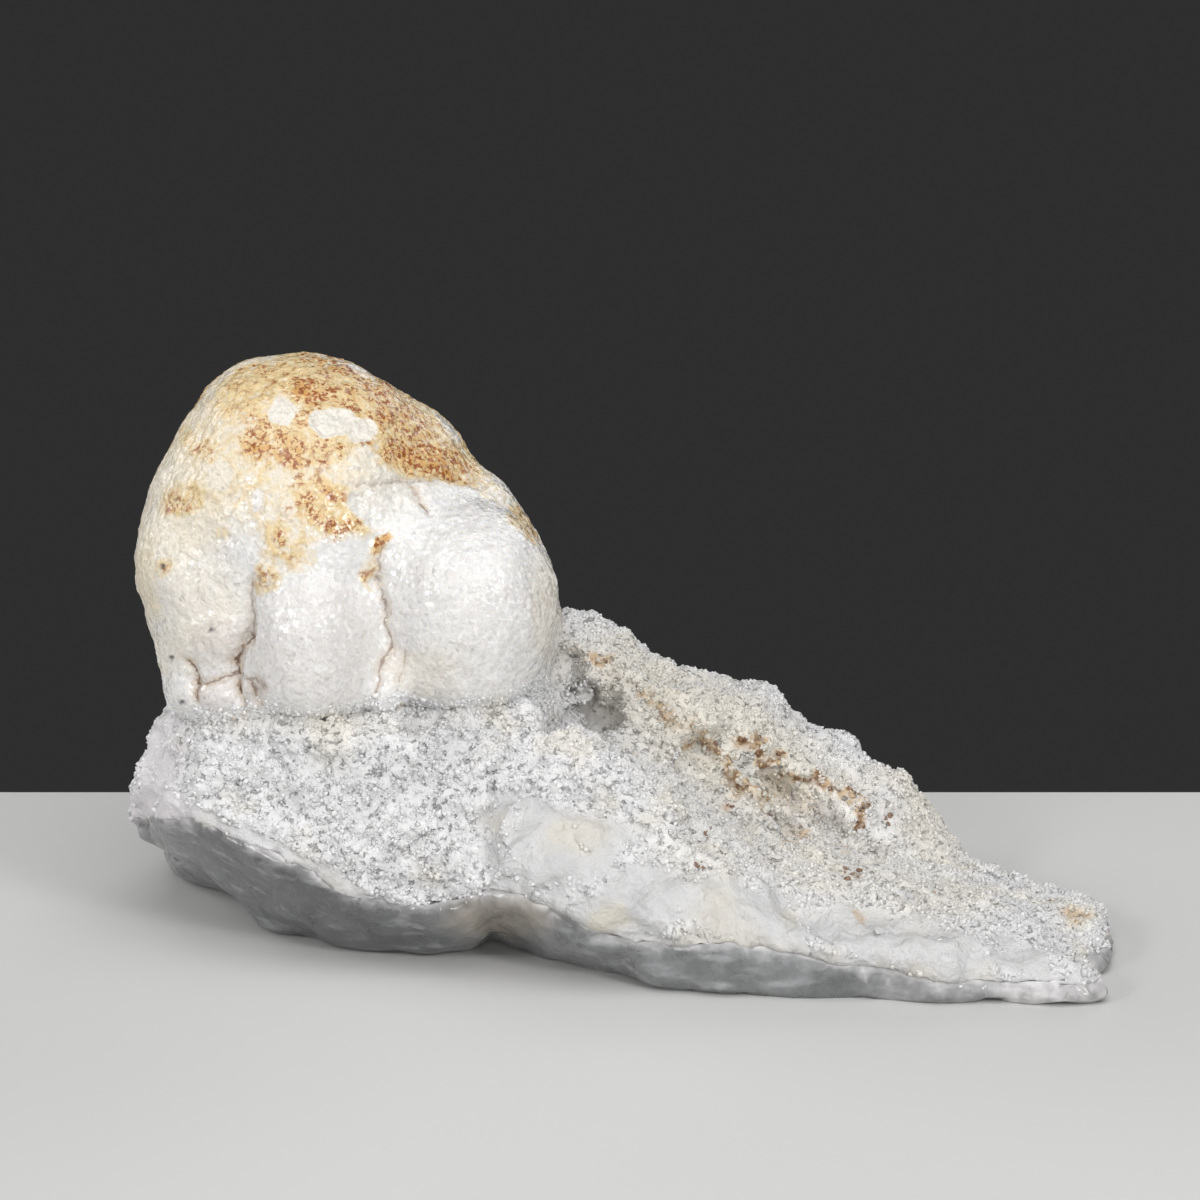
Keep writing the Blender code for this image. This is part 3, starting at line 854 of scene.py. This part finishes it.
# Painted shade: in the hollow beside the nodule, below the ledges, in grooves and pits, and on the rock below
# the nodule.
ROCK_SHADE_PATCHES = (
    (590, 704, 30, 12, 71, 1.5), (568, 672, 22, 6, 80, 0.4), (748, 760, 20, 9, 50, 0.9),
    (790, 794, 16, 7, 40, 1.0), (822, 815, 24, 13, 35, 0.9), (844, 855, 14, 8, 35, 0.8),
    (745, 819, 9, 5, 40, 0.7), (698, 752, 8, 5, 0, 0.8), (725, 768, 10, 7, 0, 0.6),
    (360, 770, 90, 30, 15, 0.3), (448, 745, 36, 20, 0, 0.5), (640, 705, 40, 10, 35, 0.4),
    (430, 880, 30, 10, 10, 0.3), (500, 789, 22, 5, 8, 0.5), (413, 728, 16, 8, 0, 0.5),
)
# Painted light on a pale pinkish tone, at the left facet and margin, which face away from the lamps.
ROCK_PAINTED_LIGHT_PATCHES = (
    (158, 820, 40, 34, 0, 1.0), (152, 758, 32, 60, 0, 0.8), (240, 850, 60, 14, 25, 0.5),
)
# Brown stains along the ledges: their corners, half widths in pixels and strengths.
ROCK_STAINS = (
    (((640, 697), (646, 709), (669, 718), (688, 724)), 6.0, 0.62),
    (((700, 737), (715, 746), (727, 758), (735, 775), (750, 787), (766, 797)), 6.0, 0.95),
    (((740, 738), (753, 736), (758, 749), (767, 761), (779, 757)), 5.0, 1.15),
    (((784, 774), (810, 780), (828, 788), (842, 798), (862, 811), (862, 822)), 5.5, 1.15),
)
# Single brown flecks: their middles and half sizes, in pixels, how far past those they reach, and how brown.
FLECKS = (
    (700, 865, 7, 2), (626, 878, 4, 3), (676, 900, 5, 2), (855, 914, 4, 3), (862, 919, 5, 2),
    (841, 873, 5, 2), (855, 877, 6, 2), (709, 833, 2, 5), (665, 903, 4, 2), (730, 808, 4, 3),
    (810, 778, 6, 3), (827, 788, 4, 4), (839, 792, 5, 3), (752, 741, 4, 3), (759, 752, 3, 4),
    (773, 812, 3, 2), (756, 801, 3, 2), (865, 823, 3, 2), (890, 819, 3, 4), (716, 746, 2, 4),
)
FLECK_REACH = 1.3
FLECK_STRENGTH = 0.9

# Ledges and, below zero, grooves on the rock: corners, height in millimetres and width in pixels.
RIDGES = (
    (((722, 738), (742, 757), (760, 776), (785, 792), (808, 810), (838, 832)), -0.42, 10.0),
    (((745, 731), (768, 754), (800, 772), (842, 790), (868, 816)), 0.2, 8.0),
    (((695, 748), (722, 768), (738, 792)), -0.35, 7.0),
    (((735, 775), (765, 800), (800, 822), (830, 842)), 0.2, 7.0),
    (((610, 715), (640, 740), (690, 768), (740, 800), (790, 835)), -0.25, 13.0),
    (((620, 665), (650, 695), (690, 713), (722, 734)), 0.2, 10.0),
    (((833, 844), (850, 862), (870, 858)), -0.25, 7.0),
    (((565, 655), (574, 684)), -0.2, 7.0),
    (((578, 690), (586, 712), (592, 726)), -0.7, 8.0),
    (((592, 696), (604, 722)), -0.5, 8.0),
    (((742, 815), (752, 826)), -0.2, 7.0),
    (((500, 790), (534, 794)), -0.08, 4.0),
    (((430, 877), (480, 872), (520, 878)), -0.12, 6.0),
    (((400, 728), (430, 726)), -0.15, 8.0),
    (((640, 880), (700, 872), (760, 890), (830, 915)), 0.12, 10.0),
    (((880, 935), (930, 925), (985, 950)), 0.15, 9.0),
)
# The rock's lower edge above the glassy layer, where it is compact.
LOWER_EDGE = (
    (128, 800), (140, 845), (190, 815), (260, 845), (325, 876), (357, 904), (420, 916), (470, 925),
    (500, 888), (551, 912), (583, 932), (630, 945), (690, 949), (777, 951), (856, 969), (919, 983),
    (1000, 980), (1090, 1000),
)
# How far from that edge the rock is compact, and wholly so, how compact, and how much the edge is bent.
EDGE_REACH = (16.0, 6.4)
EDGE_COMPACT = 0.95
EDGE_BEND = 0.3
# The low streaks down the rock: slant, length, width and start in the photograph, and height in millimetres.
STREAK_TURN = math.radians(33.0)
STREAK_LENGTH = 90.0
STREAK_WIDTH = 20.0
STREAK_START = (540.0, 660.0)
STREAK_SEED = 19.0
STREAK_HEIGHT = 0.12

# Fields of lumps: the strength of each, its size in millimetres, its seed and its octaves.
ROCK_LUMPS = (0.16, 1.6, 14.0, 3)
COMPACT_LUMPS = (0.06, 0.7, 17.0, 3)
COMPACT_BEND = (16.0, 2.0, 31.0, 3)
FRAY = (0.5, 0.9, 34.0, 3)
MARKINGS_BEND = (8.0, 1.2, 41.0, 3)
STAIN_BLOTS = (1.4, 0.24, 46.0, 2)
# Clouds: the strength of each, its size in millimetres, its seed, and where it starts and is whole.
CREAM_CLOUDS = (0.5, 2.6, 43.0, 0.1, 0.7)
GREY_CLOUDS = (0.22, 1.5, 44.0, 0.1, 0.8)
TAN_BEHIND = (0.5, 2.2, 45.0, 0.35, 0.7)
COMPACT_BEHIND = (0.8, 5.0, 33.0, 0.25, 0.6)
# How far back the compact clouds start, and where they are whole.
COMPACT_BEHIND_FROM = (1.0 * MM, 5.0 * MM)
# Pits and small flat faces: their heights and sizes in millimetres, and their seeds.
PIT_HEIGHT = 0.19
ROCK_PITS = (0.55, 16.0, 2)
SUGARY_FACET_HEIGHT = 0.07
SUGARY_FACETS = (0.42, 11.0)
COMPACT_FACET_HEIGHT = 0.1
COMPACT_FACETS = (0.9, 18.0)
# Where the rock turns from sugary to compact, where painted shade darkens its pits, and how strongly it
# darkens them and patches.
SUGARY_EDGE = (0.2, 0.95)
PIT_EDGE = (-0.1, 0.6)
PIT_SHADE = 0.25
SHADE_PATCH_STRENGTH = 0.6
# How light compact rock is, and how much lighter sugary rock is.
COMPACT_LIGHT = 0.86
SUGARY_LIGHT = 0.24
# How even the ledges' stains are, and where and how strongly a stain turns the rock tan, and then brown.
BLOTS_LEAST = 0.9
TAN_EDGE = (0.1, 0.75)
TAN_STRENGTH = 0.85
DEEP_EDGE = (0.7, 1.15)
DEEP_STRENGTH = 0.9


def streaks(across, down):
    """Long low ridges that run down the rock to the right, about -1 to 1."""
    along = (across * math.cos(STREAK_TURN) + down * math.sin(STREAK_TURN)) / STREAK_LENGTH
    over = (down * math.cos(STREAK_TURN) - across * math.sin(STREAK_TURN)) / STREAK_WIDTH
    places = np.stack((along, over, np.zeros(len(across))), axis=1) * MM
    return lumps(places, 1.0, STREAK_SEED) * ease(*STREAK_START, across)


def roughness_of_rock(points, normals):
    """How sugary the rock is at each point, from 0 where it is compact to 1."""
    across, down = in_photo(points)
    bend = waves(points, *COMPACT_BEND)
    compact = patches(across + bend, down + bend, COMPACT_PATCHES)
    edge = np.abs(line_gap(across, down + EDGE_BEND * bend, LOWER_EDGE))
    compact = np.maximum(compact, EDGE_COMPACT * ease(*EDGE_REACH, edge))
    behind = clouds(points, *COMPACT_BEHIND) * ease(*COMPACT_BEHIND_FROM, points[:, 1])
    compact = behind + (compact - behind) * shown(points, normals)
    return 1.0 - ease(*SUGARY_EDGE, compact + waves(points, *FRAY))


def rock_in_photo(points):
    """Where the rock's points show in the photograph, bent so that its markings have ragged edges."""
    across, down = in_photo(points)
    bend = waves(points, *MARKINGS_BEND)
    return across + bend, down - bend


def stain_of_rock(points, across, down, seen):
    """How strongly the rock is stained: as in the photograph in front, and in guessed clouds behind."""
    stain = patches(across, down, ROCK_TAN_PATCHES)
    blots = BLOTS_LEAST + waves(points, *STAIN_BLOTS)
    for corners, width, strength in ROCK_STAINS:
        stain = np.maximum(stain, strength * blots * fade(line_gap(across, down, corners), width))
    behind = clouds(points, *TAN_BEHIND)
    return behind + (stain - behind) * seen


def tint_of_rock(points, normals):
    """The rock's colour, cool white with cream, grey, painted shade and painted light, and how strongly it is
    to be stained.
    """
    across, down = rock_in_photo(points)
    seen = shown(points, normals)
    washes = (
        (ROCK_CREAM, clouds(points, *CREAM_CLOUDS)),
        (ROCK_GREY_AND_SHADE, clouds(points, *GREY_CLOUDS)),
        (ROCK_CREAM, patches(across, down, ROCK_CREAM_PATCHES) * seen),
        # painted shade in the hollow, below the ledges and in grooves and pits
        (ROCK_GREY_AND_SHADE, patches(across, down, ROCK_SHADE_PATCHES) * seen * SHADE_PATCH_STRENGTH),
        # painted light on a pale pinkish tone at the left facet
        (ROCK_PALE_PAINTED_LIGHT, patches(across, down, ROCK_PAINTED_LIGHT_PATCHES) * seen),
    )
    colours = np.tile(np.array(ROCK_WHITE), (len(points), 1))
    for colour, share in washes:
        colours = mixed(colours, colour, share)
    return colours, stain_of_rock(points, across, down, seen)


def stain_rock(colours, stain):
    """Stain the rock's colours tan, and brown where the stain is deepest."""
    colours = mixed(colours, ROCK_TAN, TAN_STRENGTH * ease(*TAN_EDGE, stain))
    return mixed(colours, ROCK_BROWN, DEEP_STRENGTH * ease(*DEEP_EDGE, stain))


def shape_rock(piece):
    """Give the rock's skin its lumps, pits, facets, ledges and grooves, and keep its colours on it."""
    mesh = piece.data
    lower_rim(mesh)
    nudge(mesh, ROCK_NUDGES)
    points, normals = points_of(mesh), normals_of(mesh)
    sugary = roughness_of_rock(points, normals)
    pits = lumps(points, *ROCK_PITS)
    rough = PIT_HEIGHT * pits + SUGARY_FACET_HEIGHT * facets(points, *SUGARY_FACETS)
    compact = waves(points, *COMPACT_LUMPS) + COMPACT_FACET_HEIGHT * facets(points, *COMPACT_FACETS)
    heights = waves(points, *ROCK_LUMPS) + sugary * rough + (1.0 - sugary) * compact
    across, down = in_photo(points)
    seen = shown(points, normals)
    heights += STREAK_HEIGHT * streaks(across, down) * seen
    for corners, height, width in RIDGES:
        heights += height * fade(line_gap(across, down, corners), width) * seen
    push(mesh, heights * MM)
    colours = stain_rock(*tint_of_rock(points, normals))
    # Painted shade in the pits of sugary rock.
    colours = mixed(colours, ROCK_GREY_AND_SHADE, PIT_SHADE * sugary * ease(*PIT_EDGE, -pits))
    keep_colours(mesh, "tint", colours * (COMPACT_LIGHT + SUGARY_LIGHT * sugary[:, None]))
    keep_numbers(mesh, "sugary", sugary)


# The sugary crystals on the rock

# How many crystals each of the three pieces starts with, and how many sit on the nodule's foot.
CRYSTALS_A_PIECE = 14600
CONTACT_CRYSTALS = 5500
# How far from the rock the crystals on the nodule's foot reach, and how much painted light brightens them in
# the shade there.
CONTACT_REACH = 0.75 * MM
CONTACT_PAINTED_LIGHT = 1.16
# How many kinds of crystal there are, their corners, and how long, wide and thick they are.
CRYSTAL_KINDS = 14
CRYSTAL_CORNERS = 8
CRYSTAL_FORM = (1.25, 0.95, 0.75)
CORNER_REACH = (0.85, 1.15)
# How a crystal's corners push each other apart: how often, how hard, and how softly up close.
SPREAD_ROUNDS = 20
SPREAD_PUSH = 0.05
SPREAD_SOFTNESS = 0.05
# A crystal's size, how much sizes differ, and its least and most length each way as shares of its size.
CRYSTAL_SIZE = 0.108 * MM
SIZE_SPREAD = 0.22
CRYSTAL_SHORTEST = 0.7
CRYSTAL_LONGEST = (1.0, 1.1, 1.7)
# How crystals differ from the rock under them in stain and in light, and the lightest they may be.
CRYSTAL_STAIN = (0.45, 1.2)
CRYSTAL_LIGHT = (0.96, 1.14)
CRYSTAL_WHITEST = 0.9
# Where each triangle of a crystal lies in the crystal's own square of the bake's map.
CRYSTAL_MAP = ((0.2, 0.2), (0.8, 0.2), (0.5, 0.8))

# Where no crystals grow: the shaded wall of the hollow beside the nodule, and where that ends at the back.
BARE_PATCHES = ((594, 708, 27, 11, 71, 0.9),)
BARE_FRONT = (6.0 * MM, 4.0 * MM)
# Where crystals start to grow: on sugary rock, on what faces down, and in clusters. More grow where seen.
SUGARY_START = (0.05, 0.3)
UNDER_EDGE = (-0.9, -0.3)
CLUSTERS = (0.5, 71.0, 2)
CLUSTER_EDGE = (-0.45, 0.0)
BETWEEN_CLUSTERS = 0.1
CRYSTALS_SHOWN = (0.0, 0.4)
CRYSTALS_HIDDEN = 0.75
CRYSTALS_SEEN = 0.5
# How near the nodule a crystal is looked at, how deep in it one may sit, and how low on the rock.
NODULE_NEAR = 0.6 * MM
DEEPEST_CRYSTAL = 0.08 * MM
LOWEST_CRYSTAL = 0.6 * MM


def crystal_kinds(chance):
    """Irregular crystals with flat faces: the corners and triangles of each kind."""
    kinds = []
    for kind in range(CRYSTAL_KINDS):
        spread = unit(chance.normal(size=(CRYSTAL_CORNERS, 3)))
        for step in range(SPREAD_ROUNDS):
            apart = spread[:, None] - spread[None]
            gap = (apart ** 2).sum(axis=2)[:, :, None] + SPREAD_SOFTNESS
            spread = unit(spread + SPREAD_PUSH * (apart / gap ** 1.5).sum(axis=1))
        spread *= np.array(CRYSTAL_FORM) * chance.uniform(*CORNER_REACH, (CRYSTAL_CORNERS, 1))
        shell = bmesh.new()
        for corner in spread.tolist():
            shell.verts.new(corner)
        bmesh.ops.convex_hull(shell, input=shell.verts)
        bmesh.ops.recalc_face_normals(shell, faces=shell.faces)
        shell.verts.index_update()
        corners = np.array([tuple(vertex.co) for vertex in shell.verts])
        sides = np.array([[vertex.index for vertex in face.verts] for face in shell.faces])
        shell.free()
        kinds.append((corners, sides))
    return kinds


def turns(chance, count):
    """A turning matrix for each of count crystals, evenly over all directions."""
    w, x, y, z = unit(chance.normal(size=(count, 4))).T
    rows = np.array((
        (1 - 2 * (y * y + z * z), 2 * (x * y - z * w), 2 * (x * z + y * w)),
        (2 * (x * y + z * w), 1 - 2 * (x * x + z * z), 2 * (y * z - x * w)),
        (2 * (x * z - y * w), 2 * (y * z + x * w), 1 - 2 * (x * x + y * y)),
    ))
    return rows.transpose(2, 0, 1)


def spots_on(mesh, chance, count, weigh):
    """Random places on a mesh with their normals, more of them where weigh gives more."""
    mesh.calc_loop_triangles()
    corners = np.empty(len(mesh.loop_triangles) * 3, np.int32)
    mesh.loop_triangles.foreach_get("vertices", corners)
    corners = corners.reshape(-1, 3)
    points, normals = points_of(mesh), normals_of(mesh)
    a, b, c = (points[corners[:, side]] for side in range(3))
    middle = (a + b + c) / 3.0
    facing_way = normals[corners].mean(axis=1)
    area = np.linalg.norm(np.cross(b - a, c - a), axis=1) / 2.0
    weight = area * weigh(middle, facing_way)
    chosen = chance.choice(len(corners), count, p=weight / weight.sum())
    u, v = chance.uniform(size=(2, count))
    flip = u + v > 1.0
    u[flip], v[flip] = 1.0 - u[flip], 1.0 - v[flip]
    spots = a[chosen] + (b - a)[chosen] * u[:, None] + (c - a)[chosen] * v[:, None]
    return spots, facing_way[chosen]


def tint_crystals(spots, normals, light, chance):
    """Each crystal's colour: the rock's or a fleck's at its place, a little lighter or darker, times the
    painted light given.
    """
    colours, stain = tint_of_rock(spots, normals)
    colours = stain_rock(colours, stain * chance.uniform(*CRYSTAL_STAIN, len(spots)))
    across, down = rock_in_photo(spots)
    seen = shown(spots, normals)
    for x, y, half_width, half_height in FLECKS:
        inside = np.hypot((across - x) / half_width, (down - y) / half_height) < FLECK_REACH
        colours = mixed(colours, ROCK_BROWN, FLECK_STRENGTH * inside * seen)
    return colours * (light * chance.uniform(*CRYSTAL_LIGHT, len(spots)))[:, None]


def chart_crystals(mesh, crystals, count):
    """Lay each crystal's triangles out in a square of its own, in the map that colours are baked through."""
    rows = int(math.ceil(math.sqrt(count)))
    low = np.stack((crystals % rows, crystals // rows), axis=1) / rows
    inner = np.array(CRYSTAL_MAP) / rows
    chart = mesh.uv_layers.new(name=BAKE_MAP)
    chart.data.foreach_set("uv", (low[:, None] + inner[None]).astype(np.float32).ravel())


def sprinkle(name, spots, normals, light, kinds, chance, material):
    """Crystals at the spots, joined in one mesh, each in its own colour."""
    count = len(spots)
    size = CRYSTAL_SIZE * chance.lognormal(0.0, SIZE_SPREAD, count)
    stretch = size[:, None] * chance.uniform(CRYSTAL_SHORTEST, CRYSTAL_LONGEST, (count, 3))
    turned = turns(chance, count)
    middles = spots + normals * (chance.uniform(-1.0, 0.0, count) * size)[:, None]
    kind_of = chance.integers(0, len(kinds), count)
    colours = tint_crystals(spots, normals, light, chance)
    corners, sides, tints, crystals = [], [], [], []
    start = 0
    for kind, (shape, faces) in enumerate(kinds):
        those = np.nonzero(kind_of == kind)[0]
        local = shape[None] * stretch[those][:, None]
        placed = middles[those][:, None] + np.einsum("nij,nkj->nki", turned[those], local)
        corners.append(placed.reshape(-1, 3))
        firsts = start + np.arange(len(those)) * len(shape)
        sides.append((faces[None] + firsts[:, None, None]).reshape(-1, 3))
        tints.append(np.repeat(colours[those], len(shape), axis=0))
        crystals.append(np.repeat(those, len(faces)))
        start += len(those) * len(shape)
    mesh = bpy.data.meshes.new(name)
    mesh.from_pydata(np.concatenate(corners).tolist(), [], np.concatenate(sides).tolist())
    mesh.update()
    keep_colours(mesh, "tint", np.clip(np.concatenate(tints), 0.0, CRYSTAL_WHITEST))
    chart_crystals(mesh, np.concatenate(crystals), count)
    mesh.shade_smooth()
    mesh.materials.append(material)
    return place(name, mesh)


def on_sugary_rock(middle, normal):
    """How thickly crystals grow at each place on the rock."""
    sugary = roughness_of_rock(middle, normal)
    sight = CRYSTALS_HIDDEN + CRYSTALS_SEEN * shown(middle, normal, *CRYSTALS_SHOWN)
    clusters = BETWEEN_CLUSTERS + ease(*CLUSTER_EDGE, lumps(middle, *CLUSTERS))
    bare = patches(*in_photo(middle), BARE_PATCHES) * ease(*BARE_FRONT, middle[:, 1])
    growth = sugary * ease(*SUGARY_START, sugary) * sight
    return growth * ease(*UNDER_EDGE, normal[:, 2]) * clusters * (1.0 - bare)


def beside_rock(matrix):
    """A measure of how thickly crystals sit on the nodule just above where the rock meets it."""

    def weigh(middle, normal):
        distance, above = gaps_to(matrix, middle, CONTACT_REACH)
        return np.maximum(1.0 - distance / CONTACT_REACH, 0.0) * (above > 0.0)

    return weigh


def make_grains(matrix, nodule):
    """Three joined pieces of crystals, which cover the sugary parts of the rock and the nodule's foot."""
    chance = np.random.default_rng(SEED)
    kinds = crystal_kinds(chance)
    names = ("grains_left", "grains_middle", "grains_right")
    spots, normals = spots_on(matrix.data, chance, CRYSTALS_A_PIECE * len(names), on_sugary_rock)
    above = gaps_to(nodule, spots, NODULE_NEAR)[1]
    kept = (above >= -DEEPEST_CRYSTAL) & (spots[:, 2] > LOWEST_CRYSTAL)
    foot_spots, foot_normals = spots_on(nodule.data, chance, CONTACT_CRYSTALS, beside_rock(matrix))
    spots = np.concatenate((spots[kept], foot_spots))
    normals = np.concatenate((normals[kept], foot_normals))
    light = np.ones(len(spots))
    # Painted light: the crystals on the nodule's foot are made lighter against the shade that falls there.
    light[-CONTACT_CRYSTALS:] = CONTACT_PAINTED_LIGHT
    order = np.argsort(spots[:, 0])
    third = len(order) // 3
    parts = (order[:third], order[third:2 * third], order[2 * third:])
    material = sugar_grains()
    return [sprinkle(name, spots[part], normals[part], light[part], kinds, chance, material)
            for name, part in zip(names, parts)]


# The glassy layer

# Where it is beige under the rock's edge, frosted white, and darkened with painted shade on its underside.
BEIGE_PATCHES = ((500, 920, 58, 20, 0, 0.9),)
FROST_PATCHES = ((1070, 990, 100, 40, 0, 1.1), (930, 1000, 80, 24, 4, 0.6))
GLASS_SHADE_PATCHES = ((300, 880, 160, 60, 28, 0.85), (430, 940, 60, 16, 8, 0.7))
# How near the rock it is frosted along their seam, and up to what height it keeps its flat rest face.
FROST_REACH = 0.3 * MM
REST_EDGE = (0.0, 0.4 * MM)
# How far its skin stands out to make up for the rounding, in millimetres, and the lumps on its faces.
GLASS_SWELL = 0.17
GLASS_LUMPS = (0.05, 1.8, 51.0, 2)


def shape_glass(piece):
    """Give the glassy layer the shallow curved faces of a fresh break, keep its beige and painted shade on
    it, and say where it is frosted.
    """
    mesh = piece.data
    points = points_of(mesh)
    push(mesh, (GLASS_SWELL + waves(points, *GLASS_LUMPS)) * ease(*REST_EDGE, points[:, 2]) * MM)
    points = points_of(mesh)
    points[:, 2] = np.maximum(points[:, 2], 0.0)
    move_to(mesh, points)
    across, down = in_photo(points)
    seen = shown(points, normals_of(mesh))
    keep_numbers(mesh, "beige", patches(across, down, BEIGE_PATCHES) * seen)
    keep_numbers(mesh, "glass_shade", patches(across, down, GLASS_SHADE_PATCHES) * seen)
    return patches(across, down, FROST_PATCHES) * seen


# The stage

# The floor: how far it reaches, how round its corners are, how thick it is and how round its edge is.
FLOOR_SIDE = 90.0 * MM
FLOOR_FRONT = 90.0 * MM
FLOOR_BACK = 17.0 * MM
FLOOR_CORNER = 14.0 * MM
FLOOR_CORNER_STEPS = 24
FLOOR_THICKNESS = 1.2 * MM
FLOOR_EDGE = 0.4 * MM
FLOOR_EDGE_STEPS = 4
# The least turn of an edge that is rounded off, in radians.
SHARP = 1.0
FLOOR_COLOUR = (0.62, 0.62, 0.61)
SURROUND = (0.028, 0.028, 0.029)

# Each light: its place, what it points at, its size and its power in watts.
LIGHTS = {
    "overhead": ((0.01, -0.06, 0.19), (0.0, 0.0, 0.01), 0.2, 0.26),
    "right front": ((0.11, -0.15, 0.09), (0.0, 0.0, 0.01), 0.04, 0.14),
    "left front": ((-0.14, -0.13, 0.10), (0.0, 0.0, 0.01), 0.04, 0.105),
    "front": ((0.0, -0.21, 0.05), (0.0, 0.0, 0.008), 0.12, 0.10),
    "left back": ((-0.16, 0.06, 0.09), (0.0, 0.0, 0.01), 0.08, 0.10),
    "right back": ((0.10, 0.17, 0.12), (0.0, 0.0, 0.01), 0.12, 0.08),
}


def make_floor():
    """A plain pale slab that the specimen lies on."""
    shell = bmesh.new()
    bmesh.ops.create_cube(shell, size=1.0)
    for vertex in shell.verts:
        vertex.co.x *= 2.0 * FLOOR_SIDE
        vertex.co.y = FLOOR_BACK if vertex.co.y > 0.0 else -FLOOR_FRONT
        vertex.co.z = 0.0 if vertex.co.z > 0.0 else -FLOOR_THICKNESS
    upright = [edge for edge in shell.edges if abs(edge.verts[0].co.z - edge.verts[1].co.z) > FLOOR_EDGE]
    bmesh.ops.bevel(shell, geom=upright, offset=FLOOR_CORNER, segments=FLOOR_CORNER_STEPS, profile=0.5,
                    affect="EDGES")
    rim = [edge for edge in shell.edges if edge.calc_face_angle(0.0) > SHARP]
    bmesh.ops.bevel(shell, geom=rim, offset=FLOOR_EDGE, segments=FLOOR_EDGE_STEPS, profile=0.5,
                    affect="EDGES")
    mesh = bpy.data.meshes.new("floor")
    shell.to_mesh(mesh)
    shell.free()
    floor = place("floor", mesh)
    finish = Finish("plain floor")
    mesh.materials.append(finish.done(finish.shade({"Base Color": FLOOR_COLOUR, "Roughness": 0.6})))


def aim(holder, spot, back):
    """Put a light or the camera at a spot, with its back turned the way given."""
    holder.location = spot
    holder.rotation_euler = back.to_track_quat("Z", "Y").to_euler()


def light_up():
    """Soft studio lights and a plain dark surround."""
    for name, (spot, target, size, power) in LIGHTS.items():
        lamp = bpy.data.lights.new(name, "AREA")
        lamp.energy = power
        lamp.size = size
        aim(place(name, lamp), spot, Vector(spot) - Vector(target))
    surround = bpy.data.worlds.new("surround")
    surround.use_nodes = True
    surround.node_tree.nodes["Background"].inputs["Color"].default_value = (*SURROUND, 1.0)
    bpy.context.scene.world = surround
    bpy.context.scene.view_settings.view_transform = "Standard"


def set_camera():
    """A camera that gives the photograph's view."""
    lens = bpy.data.cameras.new("camera")
    lens.sensor_width = SENSOR
    lens.lens = SENSOR * PIXELS_PER_MM * VIEW_DISTANCE / MM / PHOTO_SIZE
    lens.clip_start = CLIP_NEAR
    lens.clip_end = CLIP_FAR
    camera = place("camera", lens)
    aim(camera, *camera_place())
    bpy.context.scene.camera = camera


def take_over(piece, slot, *nodes):
    """Let a piece stand for its nodes and ride with them."""
    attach(piece, "root")
    if nodes:
        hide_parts(*nodes)


def main():
    """Build the three skins, close the gaps between them, grow the crystals, and set the stage."""
    nodule = skin_of("howlite_nodule", "nodule", NODULE_NET)
    shape_nodule(nodule)
    nodule.data.materials.append(howlite())
    matrix = skin_of("white_matrix", "matrix")
    shape_rock(matrix)
    matrix.data.materials.append(white_rock())
    glass = skin_of("glassy_base", "glass_layer")
    frosted = shape_glass(glass)
    glass.data.materials.append(grey_glass())
    close_gap(matrix, nodule, ROCK_REACH)
    close_gap(glass, matrix, GLASS_REACH)
    seam = ease(FROST_REACH, 0.0, gaps_to(matrix, points_of(glass.data), FROST_REACH)[0])
    keep_numbers(glass.data, "frost", np.maximum(frosted, seam))
    grains = make_grains(matrix, nodule)
    take_over(nodule, "howlite", "howlite_nodule")
    take_over(matrix, "white_matrix", "white_matrix")
    take_over(glass, "glassy_layer", "glassy_base")
    for piece in grains:
        take_over(piece, "white_matrix")
    make_floor()
    light_up()
    set_camera()


main()
